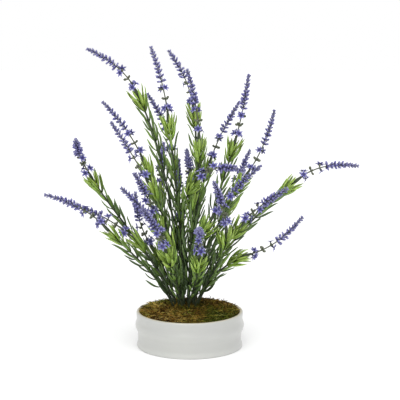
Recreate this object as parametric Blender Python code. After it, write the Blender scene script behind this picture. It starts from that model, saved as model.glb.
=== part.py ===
"""Potted lavender: artificial leafy stems with plugged-in flower wands, in a low round glazed bowl.

Metres, +Z up. The origin is the middle of the bowl's flat underside. The camera side is -Y.
"""
import math
import random

import bmesh
import bpy
import numpy as np
from mathutils import Matrix, Vector

# Fit
GAP = 0.0003
LEAF_CLEARANCE = 0.0006
SEED = 11

# Bowl
BOWL_HEIGHT = 0.066
BEAD_RADIUS = 0.100
BEAD_HEIGHT = 0.040
BEAD_HALF_WIDTH = 0.012
BEAD_FLAT = 0.002
RIM_RADIUS = 0.0983
WAIST_RADIUS = 0.0970
UNDER_BEAD_RADIUS = 0.0957
NECK_RADIUS = 0.0953
NECK_HEIGHT = 0.016
FOOT_RADIUS = 0.0974
FOOT_ROUND = 0.003
WALL = 0.0065
FLOOR_THICKNESS = 0.007
FLOOR_ROUND = 0.003
MERGE = 0.000001
BOWL_SEGMENTS = 32

# Filler and moss inside the bowl
FILLER_TOP = 0.054
MOSS_EDGE = 0.0635
MOSS_CROWN = 0.074
MOSS_RELIEF = 0.0010
MOSS_WAVES = (310.0, 270.0, 520.0)
MOSS_RINGS = 2
MOSS_LEVEL_RADIUS = 0.033
FILLER_MARGIN = 0.0009

# The cluster that the stems fan out from
CLUSTER_X = -0.008
CLUSTER_Y = 0.012
CLUSTER_HALF_WIDTH = 0.0155
CLUSTER_HALF_DEPTH = 0.0190
STEM_SPACING = 0.0055
STEM_FOOT = 0.032
FAN_OUT = 4.0
WIDEST_LEAN = 62.0
SPREAD_ROUNDS = 300

# How far along each curve its handles reach
FOOT_HANDLE = 0.30
COLLAR_HANDLE = 0.33
WAND_HANDLE = 0.45

# Leafy stem
STEM_SIDES = 4
STEM_RADIUS_LOW = 0.0021
STEM_RADIUS_HIGH = 0.0018
HOLE_GROWTH = 0.0005
CLEAR_OF_MOSS = 0.052
FERRULE_LENGTH = 0.018
FERRULE_RADIUS_LOW = 0.0032
FERRULE_RADIUS_TOP = 0.0026
SOCKET_DEPTH = 0.005
SOCKET_WALL = 0.0008

# Leaves, in whorls of one leaf for each side of the stem
WHORL_HEIGHT = 0.0023
TUFT_LEAF_LENGTH = 0.030
DARK_LEAF_LENGTH = 0.042
LEAF_HALF_WIDTH = 0.0022
LEAF_HALF_THICKNESS = 0.0005
LEAF_WIDEST_AT = 0.55
LEAF_LEANS = (24.0, 36.0)
LEAF_CLOSES_TO = 0.35
LEAF_LENGTHS = (0.9, 1.1)
SHORTER_LEAVES = (1.0, 0.85, 0.7, 0.55)
OTHER_LEANS = (1.0, 0.75, 1.3, 0.5)
FIRST_WHORL = 0.012
SECOND_WHORL = 0.020
WHORL_STEP = 0.059
LOWEST_WHORL = 0.092

# Flower wand, its places as shares of its length
WAND_RADIUS = 0.0010
WAND_SIDES = 4
PEG_LENGTH = 0.0046
BASE_FLOWERS_AT = 0.080
BUDS_AT = 0.205
UPPER_FLOWER_AT = 0.350
SPIKE_START = 0.455
SPIKE_WHORLS = 7
SPIKE_TIP = 0.6
SPIKE_CORE = 0.0016
SPIKE_TWIST = 24.0
FLORET_REACH = 0.0054
FLORET_LOW = 0.80
FLORET_SWELL = 0.35
FLORET_SWELL_END = 0.74
FLORET_FADE = 0.45
FLORET_FORWARD = 0.62
SPIKE_TAPER = 0.35
BUD_REACH = 0.0040
BUD_HEIGHT = 0.0045
BUD_FORWARD = 0.6
STAR_PETALS = 5
STAR_RADIUS = 0.0068
STAR_NOTCH = 0.0024
STAR_THICKNESS = 0.0016
STAR_STANDOFF = 0.0063
STAR_TILT = 30.0
FLOWER_STAGGER = 0.002
FLOWER_TURNS = (160.0, 70.0)

# Each stem: where its ferrule ends, where its wand's tip is, how far the wand bows over, and how far
# it swings aside.
STEMS = (
    ((-0.100, 0.020, 0.474), (-0.185, 0.010, 0.545), 0.9, 0.0),
    ((-0.040, 0.000, 0.434), (-0.070, 0.005, 0.549), 1.0, 0.0),
    ((-0.033, 0.065, 0.354), (-0.080, 0.095, 0.459), 2.2, 0.0),
    ((0.005, 0.065, 0.444), (-0.040, 0.090, 0.539), 1.8, 0.0),
    ((0.017, 0.010, 0.394), (-0.005, 0.015, 0.509), 2.6, 0.0),
    ((0.084, -0.010, 0.389), (0.105, -0.020, 0.502), -0.3, 0.0),
    ((0.040, 0.075, 0.339), (0.095, 0.100, 0.444), 0.4, 0.0),
    ((0.110, 0.020, 0.324), (0.155, 0.030, 0.434), -0.4, 0.0),
    ((0.080, 0.070, 0.269), (0.115, 0.120, 0.349), 0.2, 0.0),
    ((0.020, -0.045, 0.324), (0.095, -0.115, 0.339), 0.6, 0.0),
    ((0.045, -0.070, 0.259), (0.125, -0.100, 0.349), 0.2, 0.0),
    ((0.202, -0.020, 0.318), (0.305, -0.010, 0.335), 0.6, 0.0),
    ((0.100, -0.070, 0.249), (0.170, -0.110, 0.309), 0.3, 0.0),
    ((0.110, -0.060, 0.184), (0.200, -0.070, 0.254), -0.4, 0.0),
    ((0.063, -0.105, 0.246), (0.040, -0.160, 0.329), 1.0, 0.0),
    ((0.017, -0.112, 0.199), (0.015, -0.205, 0.255), 1.5, 0.0),
    ((-0.090, 0.020, 0.354), (-0.160, 0.030, 0.449), 0.5, 0.0),
    ((-0.080, -0.030, 0.319), (-0.140, -0.040, 0.419), 0.1, 0.0),
    ((-0.183, -0.020, 0.327), (-0.196, -0.100, 0.394), 1.2, 0.8),
    ((-0.155, -0.065, 0.239), (-0.255, -0.080, 0.294), 0.5, 0.0),
    ((-0.115, -0.015, 0.214), (-0.225, -0.015, 0.269), 0.4, 0.0),
    ((-0.065, -0.055, 0.259), (-0.095, -0.130, 0.339), 0.3, 0.0),
    ((-0.050, -0.080, 0.224), (-0.120, -0.095, 0.309), 0.3, 0.0),
    ((-0.073, 0.000, 0.192), (-0.096, -0.045, 0.293), 0.0, 0.4),
    ((-0.045, -0.115, 0.209), (-0.080, -0.185, 0.289), 0.3, 0.0),
    ((-0.018, 0.022, 0.234), (-0.020, 0.030, 0.344), 0.2, 0.0),
    ((0.002, -0.002, 0.299), (-0.006, 0.080, 0.354), 0.5, 0.0),
    ((-0.055, 0.080, 0.289), (-0.050, 0.155, 0.359), 0.3, 0.0),
)
UP = Vector((0.0, 0.0, 1.0))


def clear_scene():
    """Remove whatever the file opened with."""
    for old in list(bpy.data.objects):
        bpy.data.objects.remove(old, do_unlink=True)


def finish_material(name, colour, roughness, metallic=0.0):
    """A Principled BSDF material with one colour and one roughness."""
    material = bpy.data.materials.new(name)
    material.use_nodes = True
    shader = material.node_tree.nodes["Principled BSDF"]
    shader.inputs["Base Color"].default_value = (*colour, 1.0)
    shader.inputs["Roughness"].default_value = roughness
    shader.inputs["Metallic"].default_value = metallic
    return material


def new_object(name, bm, material=None):
    """Turn a bmesh into a named object with its faces pointing out."""
    bmesh.ops.recalc_face_normals(bm, faces=bm.faces)
    mesh = bpy.data.meshes.new(name)
    bm.to_mesh(mesh)
    bm.free()
    made = bpy.data.objects.new(name, mesh)
    bpy.context.scene.collection.objects.link(made)
    if material:
        mesh.materials.append(material)
    return made


def shade_round(thing, angle=35.0):
    """Shade smooth, with sharp edges where the surface turns quickly."""
    thing.data.shade_smooth()
    thing.data.set_sharp_from_angle(angle=math.radians(angle))


def boolean(base, operation, others):
    """Join or cut with every object of a collection, apply it, and remove the objects."""
    tools = bpy.data.collections.new("tools")
    bpy.context.scene.collection.children.link(tools)
    for thing in others:
        bpy.context.scene.collection.objects.unlink(thing)
        tools.objects.link(thing)
    step = base.modifiers.new("join", "BOOLEAN")
    step.operation = operation
    step.operand_type = "COLLECTION"
    step.collection = tools
    bpy.context.view_layer.update()
    evaluated = base.evaluated_get(bpy.context.evaluated_depsgraph_get())
    joined = bpy.data.meshes.new_from_object(evaluated)
    base.modifiers.clear()
    old = base.data
    base.data = joined
    joined.name = base.name
    bpy.data.meshes.remove(old)
    for thing in list(tools.objects):
        bpy.data.objects.remove(thing, do_unlink=True)
    bpy.data.collections.remove(tools)


def turned(name, profile, material):
    """Spin a profile of (radius, height) points, which starts and ends on the axis, into a solid."""
    bm = bmesh.new()
    verts = [bm.verts.new((radius, 0.0, height)) for radius, height in profile]
    edges = [bm.edges.new(pair) for pair in zip(verts, verts[1:])]
    bmesh.ops.spin(bm, geom=verts + edges, cent=(0, 0, 0), axis=(0, 0, 1), dvec=(0, 0, 0),
                   angle=math.tau, steps=BOWL_SEGMENTS, use_merge=True)
    bmesh.ops.remove_doubles(bm, verts=bm.verts, dist=MERGE)
    made = new_object(name, bm, material)
    shade_round(made)
    return made


def arc(centre, radius, start, end, steps):
    """Points on an arc in the profile's plane, with its angles in degrees."""
    points = []
    for index in range(steps + 1):
        angle = math.radians(start + (end - start) * index / steps)
        points.append((centre[0] + radius * math.cos(angle), centre[1] + radius * math.sin(angle)))
    return points


def inner_radius(height):
    """The bowl's inner wall at a height."""
    lean = (height - FLOOR_THICKNESS) / (BOWL_HEIGHT - FLOOR_THICKNESS)
    return NECK_RADIUS - WALL + lean * (RIM_RADIUS - NECK_RADIUS)


def build_bowl():
    """The turned bowl: flat base, rounded foot, shallow neck, broad bead, waist and a soft rim."""
    rim_round = WALL / 2
    rim_centre = (RIM_RADIUS - rim_round, BOWL_HEIGHT - rim_round)
    profile = [(0.0, 0.0)]
    profile += arc((FOOT_RADIUS - FOOT_ROUND, FOOT_ROUND), FOOT_ROUND, -90, 0, 2)
    profile += [(NECK_RADIUS, NECK_HEIGHT)]
    profile += [(UNDER_BEAD_RADIUS, BEAD_HEIGHT - BEAD_HALF_WIDTH)]
    profile += [(BEAD_RADIUS, BEAD_HEIGHT - BEAD_FLAT), (BEAD_RADIUS, BEAD_HEIGHT + BEAD_FLAT)]
    profile += [(WAIST_RADIUS, BEAD_HEIGHT + BEAD_HALF_WIDTH)]
    profile += arc(rim_centre, rim_round, 0, 180, 3)
    profile += [(inner_radius(FLOOR_THICKNESS + FLOOR_ROUND), FLOOR_THICKNESS + FLOOR_ROUND)]
    profile += [(inner_radius(FLOOR_THICKNESS) - FLOOR_ROUND, FLOOR_THICKNESS)]
    profile += [(0.0, FLOOR_THICKNESS)]
    return turned("bowl", profile, finish_material("glaze", (0.80, 0.80, 0.78), 0.28))


def build_filler(cutters):
    """The foam block, with a blind hole for each stem."""
    low = FLOOR_THICKNESS + GAP
    bm = bmesh.new()
    bmesh.ops.create_cone(bm, cap_ends=True, cap_tris=False, segments=BOWL_SEGMENTS,
                          radius1=inner_radius(low) - FLOOR_ROUND - FILLER_MARGIN,
                          radius2=inner_radius(FILLER_TOP) - FILLER_MARGIN,
                          depth=FILLER_TOP - low, matrix=Matrix.Translation((0, 0, (FILLER_TOP + low) / 2)))
    filler = new_object("filler", bm, finish_material("foam", (0.16, 0.26, 0.14), 0.9))
    boolean(filler, "DIFFERENCE", cutters)
    return filler


def moss_height(x, y, radius):
    """The moss's top: a low dome round the cluster, with lumps and hollows."""
    dome = (MOSS_CROWN - MOSS_EDGE) * max(0.0, 1.0 - (radius / inner_radius(MOSS_EDGE)) ** 2)
    lumps = math.sin(x * MOSS_WAVES[0]) * math.cos(y * MOSS_WAVES[1]) + math.sin((x + y) * MOSS_WAVES[2]) / 2
    return MOSS_EDGE + dome + MOSS_RELIEF * lumps


def build_moss(cutters):
    """The moss layer over the filler, level where the stems come through, with a hole for each."""
    low = FILLER_TOP + GAP
    rim = inner_radius(FILLER_TOP) - FILLER_MARGIN
    bm = bmesh.new()
    floor = bmesh.ops.create_circle(bm, cap_ends=True, radius=rim, segments=BOWL_SEGMENTS,
                                    matrix=Matrix.Translation((0, 0, low)))
    grown = bmesh.ops.extrude_face_region(bm, geom=list(floor["verts"][0].link_faces))["geom"]
    top = [item for item in grown if isinstance(item, bmesh.types.BMVert)]
    cap = next(item for item in grown if isinstance(item, bmesh.types.BMFace))
    bmesh.ops.translate(bm, verts=top, vec=(0, 0, MOSS_EDGE - low))
    for _ in range(MOSS_RINGS):
        bmesh.ops.inset_region(bm, faces=[cap], thickness=(rim - MOSS_LEVEL_RADIUS) / MOSS_RINGS, depth=0.0)
    middle = set(cap.verts)
    for vert in bm.verts:
        if vert.co.z < low + GAP:
            continue
        radius = math.hypot(vert.co.x, vert.co.y)
        inwards = (rim - radius) / (rim - MOSS_LEVEL_RADIUS)
        vert.co.x += CLUSTER_X * inwards
        vert.co.y += CLUSTER_Y * inwards
        vert.co.z = MOSS_CROWN if vert in middle else moss_height(vert.co.x, vert.co.y, radius)
    moss = new_object("moss", bm, finish_material("moss_fibre", (0.20, 0.15, 0.05), 0.95))
    boolean(moss, "DIFFERENCE", cutters)
    return moss


def spread_feet():
    """Where the stems stand: on the side that each leans to, pushed apart to an even spacing."""
    feet = []
    for collar, *_ in STEMS:
        away = Vector((collar[0] - CLUSTER_X, collar[1] - CLUSTER_Y))
        lean = math.atan2(away.length, collar[2] - BOWL_HEIGHT)
        share = min(1.0, math.sqrt(lean / math.radians(WIDEST_LEAN)))
        heading = away.normalized() * share
        feet.append(Vector((heading.x * CLUSTER_HALF_WIDTH, heading.y * CLUSTER_HALF_DEPTH)))
    for _ in range(SPREAD_ROUNDS):
        for index, foot in enumerate(feet):
            for other in feet[:index]:
                between = foot - other
                if between.length < STEM_SPACING:
                    push = between.normalized() * (STEM_SPACING - between.length) / 2
                    foot += push
                    other -= push
        for foot in feet:
            out = math.hypot(foot.x / CLUSTER_HALF_WIDTH, foot.y / CLUSTER_HALF_DEPTH)
            if out > 1.0:
                foot /= out
    return feet


def bezier(points, share):
    """A point on the curve that these control points draw."""
    points = [Vector(point) for point in points]
    while len(points) > 1:
        points = [a.lerp(b, share) for a, b in zip(points, points[1:])]
    return points[0]


class Route:
    """A smooth path that can be read by the distance along it."""

    def __init__(self, controls, side, samples=96):
        self.points = [bezier(controls, index / samples) for index in range(samples + 1)]
        self.side = Vector(side).normalized()
        self.along = [0.0]
        for a, b in zip(self.points, self.points[1:]):
            self.along.append(self.along[-1] + (b - a).length)
        self.length = self.along[-1]

    def at(self, distance):
        """The point and the direction at a distance from the start."""
        index = int(np.searchsorted(self.along, distance)) - 1
        index = min(max(index, 0), len(self.points) - 2)
        a, b = self.points[index], self.points[index + 1]
        share = (distance - self.along[index]) / (self.along[index + 1] - self.along[index])
        return a + (b - a) * share, (b - a).normalized()

    def place(self, distance, turn=0.0):
        """A frame at a distance: X to the side, Z along the path, turned about the path."""
        point, ahead = self.at(distance)
        across = (self.side - ahead * self.side.dot(ahead)).normalized()
        frame = Matrix((across, ahead.cross(across), ahead)).transposed().to_4x4()
        return Matrix.Translation(point) @ frame @ Matrix.Rotation(turn, 4, "Z")


def wand_heading(collar, tip, bow, swing):
    """The direction in which the wand leaves its ferrule."""
    chord = (Vector(tip) - Vector(collar)).normalized()
    aside = chord.cross(UP).normalized()
    return (chord + UP * bow + aside * swing).normalized()


def stem_route(foot, collar, tip, bow, swing):
    """From the stem's foot in the filler, nearly upright, out to the end of the ferrule."""
    start = Vector((CLUSTER_X + foot.x, CLUSTER_Y + foot.y, STEM_FOOT))
    end = Vector(collar)
    rise = Vector((foot.x * FAN_OUT, foot.y * FAN_OUT, 1.0)).normalized()
    arrive = wand_heading(collar, tip, bow, swing)
    reach = (end - start).length
    side = (end - start).cross(UP)
    return Route((start, start + rise * FOOT_HANDLE * reach, end - arrive * COLLAR_HANDLE * reach, end), side)


def wand_route(stem, collar, tip, bow, swing):
    """From the bottom of the peg in the ferrule to the tip of the spike, squared up with its stem."""
    heading = wand_heading(collar, tip, bow, swing)
    start = Vector(collar) - heading * PEG_LENGTH
    reach = (Vector(tip) - start).length
    return Route((start, start + heading * WAND_HANDLE * reach, tip), stem.side)


def tube(bm, places, sides, pointed=False):
    """A closed tube through places, each the matrix of a unit circle."""
    rings = []
    for place in places:
        verts = bmesh.ops.create_circle(bm, segments=sides, radius=1.0, matrix=place)["verts"]
        rings.append(verts)
    bm.faces.new(rings[0])
    bm.faces.new(rings[-1])
    bands = []
    for low, high in zip(rings, rings[1:]):
        band = []
        for index in range(sides):
            after = (index + 1) % sides
            band.append(bm.faces.new((low[index], low[after], high[after], high[index])))
        bands.append(band)
    if pointed:
        tip = sum((vert.co for vert in rings[-1]), Vector()) / sides
        bmesh.ops.pointmerge(bm, verts=rings[-1], merge_co=tip)
    return bands


def scaled(place, width, thickness):
    """The same place for a circle of another width and thickness."""
    return place @ Matrix.Diagonal((width, thickness, 1.0, 1.0))


def whorl_distances(route):
    """Where a stem's whorls of leaves are, from the tuft down to just over the moss."""
    distance = route.length - FERRULE_LENGTH - FIRST_WHORL
    found = [distance]
    distance -= SECOND_WHORL
    while distance > 0 and route.at(distance)[0].z > LOWEST_WHORL:
        found.append(distance)
        distance -= WHORL_STEP
    return found


def stem_radius(route, distance):
    """The stem tapers from its foot to its ferrule."""
    return STEM_RADIUS_LOW + (STEM_RADIUS_HIGH - STEM_RADIUS_LOW) * distance / route.length


def stem_place(route, distance, turned_by=0):
    """A unit circle's place on the stem, turned by half a side so that whorls alternate."""
    return route.place(distance, turned_by * math.pi / STEM_SIDES)


def hole_cutter(route):
    """A stem's own shape in the filler and moss, grown by the gap round it and under its foot."""
    bm = bmesh.new()
    places = []
    for distance, beyond in ((0.0, -HOLE_GROWTH), (CLEAR_OF_MOSS, 0.0)):
        radius = stem_radius(route, distance) + HOLE_GROWTH
        places.append(scaled(stem_place(route, distance + beyond), radius, radius))
    tube(bm, places, STEM_SIDES)
    return new_object("hole", bm)


def leaf_line(place, side, angle, length):
    """A leaf's root, middle and tip and its width's direction, from one side of a whorl."""
    turned_place = place @ Matrix.Rotation(side, 4, "Z")
    root = turned_place.translation
    ahead = turned_place.col[2].to_3d().normalized()
    out = turned_place.col[0].to_3d().normalized()
    first = ahead * math.cos(angle) + out * math.sin(angle)
    second = ahead * math.cos(angle * LEAF_CLOSES_TO) + out * math.sin(angle * LEAF_CLOSES_TO)
    middle = root + first * length * LEAF_WIDEST_AT
    return root, middle, middle + second * length * (1.0 - LEAF_WIDEST_AT), ahead


def raise_leaf(bm, face, line):
    """Draw one face of a whorl out into a narrow blade with a pointed tip."""
    root, middle, tip, ahead = line
    reach = (middle - root).normalized()
    across = reach.cross(ahead).normalized()
    over = across.cross(reach)
    face_centre = face.calc_center_median()
    blade = bmesh.ops.extrude_discrete_faces(bm, faces=[face])["faces"][0]
    for vert in blade.verts:
        from_centre = vert.co - face_centre
        aside = math.copysign(LEAF_HALF_WIDTH, from_centre.dot(across))
        above = math.copysign(LEAF_HALF_THICKNESS, from_centre.dot(ahead) * over.dot(ahead))
        vert.co = middle + across * aside + over * above
    point = bmesh.ops.poke(bm, faces=[blade])["verts"][0]
    point.co = tip


class Room:
    """The space that is taken, as balls along every stem, leaf and wand, each with its node."""

    def __init__(self):
        self.centres = np.zeros((0, 3))
        self.radii = np.zeros(0)
        self.nodes = np.zeros(0, dtype=int)

    def take(self, node, centres, radii):
        """Add a row of balls that belong to a node."""
        self.centres = np.vstack((self.centres, centres))
        self.radii = np.concatenate((self.radii, radii))
        self.nodes = np.concatenate((self.nodes, np.full(len(radii), node)))

    def is_free(self, node, centres, radii):
        """Whether a row of balls keeps clear of every other node's."""
        others = self.nodes != node
        apart = np.linalg.norm(centres[:, None] - self.centres[None, others], axis=2)
        need = radii[:, None] + self.radii[None, others] + LEAF_CLEARANCE
        return bool((apart > need).all())


def leaf_balls(line, count=16):
    """Balls along a leaf, as wide as its blade, from just outside the stem."""
    root, middle, tip, _ = line
    centres = []
    radii = []
    for index in range(2, count + 1):
        share = index / count
        if share < LEAF_WIDEST_AT:
            centres.append(root.lerp(middle, share / LEAF_WIDEST_AT))
            radii.append(LEAF_HALF_WIDTH)
        else:
            to_tip = (share - LEAF_WIDEST_AT) / (1.0 - LEAF_WIDEST_AT)
            centres.append(middle.lerp(tip, to_tip))
            radii.append(LEAF_HALF_WIDTH * (1.0 - to_tip))
    return np.array([tuple(centre) for centre in centres]), np.array(radii)


def route_balls(route, radius_at, step=0.0025):
    """Balls along a route, with a radius for each distance."""
    distances = np.arange(0.0, route.length, step)
    centres = np.array([tuple(route.at(distance)[0]) for distance in distances])
    return centres, np.array([radius_at(distance) for distance in distances])


def find_leaf(room, node, place, side, length, rng):
    """The longest leaf of this side of a whorl that is clear of every other node, or None."""
    angle = math.radians(rng.uniform(*LEAF_LEANS))
    length *= rng.uniform(*LEAF_LENGTHS)
    for share in SHORTER_LEAVES:
        for lean in OTHER_LEANS:
            line = leaf_line(place, side, angle * lean, length * share)
            if room.is_free(node, *leaf_balls(line)):
                return line
    return None


def find_leaves(room, node, route, rng):
    """For each whorl of a stem, its distance, its turn and the leaves that there is room for."""
    whorls = []
    for index, distance in enumerate(whorl_distances(route)):
        length = TUFT_LEAF_LENGTH if index < 2 else DARK_LEAF_LENGTH
        place = stem_place(route, distance + WHORL_HEIGHT / 2, index % 2)
        lines = []
        for side in range(STEM_SIDES):
            spin = (side + 0.5) * math.tau / STEM_SIDES
            line = find_leaf(room, node, place, spin, length, rng)
            if line:
                room.take(node, *leaf_balls(line))
                lines.append(line)
        whorls.append((distance, index % 2, lines))
    return whorls


def build_stem(name, route, whorls, material):
    """A stem with its whorls of leaves drawn out of its sides, and the ferrule's socket."""
    bm = bmesh.new()
    top = route.length - FERRULE_LENGTH
    rings = [(distance, 0, stem_radius(route, distance)) for distance in (0.0, CLEAR_OF_MOSS)]
    for distance, turned_by, _ in reversed(whorls):
        radius = stem_radius(route, distance)
        rings.append((distance, turned_by, radius))
        rings.append((distance + WHORL_HEIGHT, turned_by, radius))
    rings += [(top, 0, FERRULE_RADIUS_LOW), (route.length, 0, FERRULE_RADIUS_TOP)]
    places = [scaled(stem_place(route, d, turned_by), r, r) for d, turned_by, r in rings]
    bands = tube(bm, places, STEM_SIDES)
    bmesh.ops.recalc_face_normals(bm, faces=bm.faces)
    whorl_bands = bands[2::2]
    for (_, _, lines), band in zip(reversed(whorls), whorl_bands):
        for line in lines:
            free = [side for side in band if side.is_valid]
            face = max(free, key=lambda side: side.normal.dot(line[1] - line[0]))
            raise_leaf(bm, face, line)
    cut_socket(bm, route)
    return new_object(name, bm, material)


def cut_socket(bm, route):
    """Sink the hole for the wand's peg into the ferrule's end."""
    end, ahead = route.at(route.length)
    face = min(bm.faces, key=lambda each: (each.calc_center_median() - end).length)
    bmesh.ops.inset_individual(bm, faces=[face], thickness=SOCKET_WALL)
    floor = bmesh.ops.extrude_discrete_faces(bm, faces=[face])["faces"][0]
    bmesh.ops.translate(bm, verts=floor.verts, vec=-ahead * SOCKET_DEPTH)


def wand_thickness(route):
    """How far a wand's flowers and buds reach from its path at each distance."""
    flower = STAR_STANDOFF + STAR_RADIUS / 2
    places = ((BASE_FLOWERS_AT, flower), (UPPER_FLOWER_AT, flower), (BUDS_AT, BUD_REACH + WAND_RADIUS))

    def radius_at(distance):
        share = distance / route.length
        if share > SPIKE_START:
            return FLORET_REACH + SPIKE_CORE
        for at, reach in places:
            if abs(share - at) * route.length < STAR_RADIUS:
                return reach
        return WAND_RADIUS
    return radius_at


def floret_reach(share):
    """How far a floret stands out, by its share of the way up the spike."""
    swell = FLORET_SWELL * math.sin(math.pi * min(1.0, share / FLORET_SWELL_END))
    return FLORET_REACH * (FLORET_LOW + swell - FLORET_FADE * share ** 2)


def raise_florets(bm, band, ahead, reach, forward):
    """Draw each face of a band out into a pointed floret that leans forward."""
    for face in band:
        made = bmesh.ops.poke(bm, faces=[face], offset=reach, use_relative_offset=False)
        bmesh.ops.translate(bm, verts=made["verts"], vec=ahead * forward)


def wand_body(name, route, material):
    """The flower stalk with its bud whorl and its spike of florets, as one surface."""
    bm = bmesh.new()
    length = route.length
    bud_at = BUDS_AT * length
    stations = [0.0, bud_at - BUD_HEIGHT / 2, bud_at + BUD_HEIGHT / 2, UPPER_FLOWER_AT * length]
    bud_band = 1
    spike_band = len(stations)
    spike_step = (1.0 - SPIKE_START) * length / (SPIKE_WHORLS + SPIKE_TIP)
    stations += [SPIKE_START * length + spike_step * index for index in range(SPIKE_WHORLS + 1)]
    stations.append(length)
    places = []
    for index, distance in enumerate(stations):
        up_the_spike = max(0, index - spike_band)
        radius = WAND_RADIUS
        if index >= spike_band:
            radius = SPIKE_CORE * (1.0 - SPIKE_TAPER * up_the_spike / SPIKE_WHORLS)
        turn = math.radians(SPIKE_TWIST) * up_the_spike
        places.append(scaled(route.place(distance, turn), radius, radius))
    bands = tube(bm, places, WAND_SIDES, pointed=True)
    bmesh.ops.recalc_face_normals(bm, faces=bm.faces)
    raise_florets(bm, bands[bud_band], route.at(bud_at)[1], BUD_REACH, BUD_HEIGHT * BUD_FORWARD)
    for index in range(SPIKE_WHORLS):
        ahead = route.at(stations[spike_band + index])[1]
        reach = floret_reach(index / SPIKE_WHORLS)
        raise_florets(bm, bands[spike_band + index], ahead, reach, spike_step * FLORET_FORWARD)
    return new_object(name, bm, material)


def star_flower(route, distance, turn):
    """A flat star of pointed petals beside the stalk, one of them sunk in it."""
    bm = bmesh.new()
    bmesh.ops.create_circle(bm, cap_ends=True, cap_tris=True, segments=STAR_PETALS * 2, radius=STAR_RADIUS,
                            matrix=Matrix.Rotation(math.pi / (STAR_PETALS * 2), 4, "Z"))
    ring = [vert for vert in bm.verts if vert.co.length > STAR_RADIUS / 2]
    ring.sort(key=lambda vert: math.atan2(vert.co.y, vert.co.x) % math.tau)
    inward = min(ring, key=lambda vert: vert.co.x)
    notches = ring[(ring.index(inward) + 1) % 2::2]
    bmesh.ops.scale(bm, verts=notches, vec=Vector((1, 1, 1)) * STAR_NOTCH / STAR_RADIUS)
    bmesh.ops.duplicate(bm, geom=bm.verts[:] + bm.edges[:] + bm.faces[:])
    middles = [vert for vert in bm.verts if vert.co.length < STAR_NOTCH / 2]
    for side, middle in zip((1, -1), middles):
        middle.co.z = side * STAR_THICKNESS / 2
    bmesh.ops.remove_doubles(bm, verts=bm.verts, dist=MERGE)
    lift = Matrix.Rotation(-math.radians(STAR_TILT), 4, "Y") @ Matrix.Translation((STAR_STANDOFF, 0, 0))
    bmesh.ops.transform(bm, matrix=route.place(distance, turn) @ lift, verts=bm.verts)
    return new_object("star", bm)


def build_wand(name, route, rng, material):
    """A wand with two star flowers at its base and one higher up."""
    wand = wand_body(name, route, material)
    turn = rng.uniform(0, math.tau)
    low = BASE_FLOWERS_AT * route.length
    places = (
        (low, turn),
        (low + FLOWER_STAGGER, turn + math.radians(FLOWER_TURNS[0])),
        (UPPER_FLOWER_AT * route.length - FLOWER_STAGGER, turn + math.radians(FLOWER_TURNS[1])),
    )
    boolean(wand, "UNION", [star_flower(route, distance, spin) for distance, spin in places])
    return wand


def main():
    """Build every piece."""
    clear_scene()
    rng = random.Random(SEED)
    leaf_green = finish_material("leaf_green", (0.10, 0.22, 0.06), 0.55)
    flower_violet = finish_material("flower_violet", (0.16, 0.12, 0.42), 0.6)
    routes = [stem_route(foot, *stem) for foot, stem in zip(spread_feet(), STEMS)]
    wands = [wand_route(route, *stem) for route, stem in zip(routes, STEMS)]
    build_bowl()
    build_filler([hole_cutter(route) for route in routes])
    build_moss([hole_cutter(route) for route in routes])
    room = Room()
    for node, (route, wand) in enumerate(zip(routes, wands)):
        room.take(node, *route_balls(route, lambda distance: STEM_RADIUS_LOW))
        room.take(node + len(STEMS), *route_balls(wand, wand_thickness(wand)))
    for node, (route, wand) in enumerate(zip(routes, wands)):
        number = f"{node + 1:02d}"
        build_stem(f"leafy_stem_{number}", route, find_leaves(room, node, route, rng), leaf_green)
        build_wand(f"flower_wand_{number}", wand, rng, flower_violet)


main()
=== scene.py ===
# %% [markdown]
# # Potted lavender
#
# An artificial lavender stands in a low, round, white bowl. Twenty-eight leafy stems fan out of one
# tight cluster in a bed of moss, and each ends in a socket that a thin flower wand is plugged into.
#
# The plant already exists as a plain, correct model: every piece is there at its real size and place.
# It is loaded first and stays fixed. This lesson gives each piece its fine surface: a glaze, moss that is
# made of strands, leaves with a midrib, and spikes that are made of single florets.
#
# Everything is in metres, with Z up. The origin is the middle of the bowl's underside.

# %% Load the fixed frame
import math
import random

import bmesh
import bpy
import numpy as np
from mathutils import Matrix, Vector, noise


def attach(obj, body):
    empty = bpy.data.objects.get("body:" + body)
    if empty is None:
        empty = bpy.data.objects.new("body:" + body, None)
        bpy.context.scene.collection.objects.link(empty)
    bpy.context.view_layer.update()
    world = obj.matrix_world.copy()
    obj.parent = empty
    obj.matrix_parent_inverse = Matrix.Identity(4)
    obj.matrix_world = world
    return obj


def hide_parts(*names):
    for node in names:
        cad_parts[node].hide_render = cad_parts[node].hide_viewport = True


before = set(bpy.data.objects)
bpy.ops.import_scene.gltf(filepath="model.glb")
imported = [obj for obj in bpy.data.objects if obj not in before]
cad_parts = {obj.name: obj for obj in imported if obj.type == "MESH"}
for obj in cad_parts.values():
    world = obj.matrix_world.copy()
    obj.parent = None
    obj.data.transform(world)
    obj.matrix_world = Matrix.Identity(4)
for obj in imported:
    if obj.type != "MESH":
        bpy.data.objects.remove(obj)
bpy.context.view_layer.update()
print("Nodes in the frame:", len(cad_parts))

# %% [markdown]
# ## The camera
#
# The photograph was taken from 2.2 m away with a long lens, a little above the plant, so that the rim of
# the bowl shows as a narrow ellipse. The slope of that ellipse gives the pitch, and its width gives the
# lens. The small shift places the bowl a little left of the middle.

# %% Place the camera
CAMERA_DISTANCE = 2.2
CAMERA_HEIGHT = 0.6268
CAMERA_PITCH = 9.11
CAMERA_LENS = 110.3
CAMERA_SHIFT = (0.0259, -0.0034)

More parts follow.
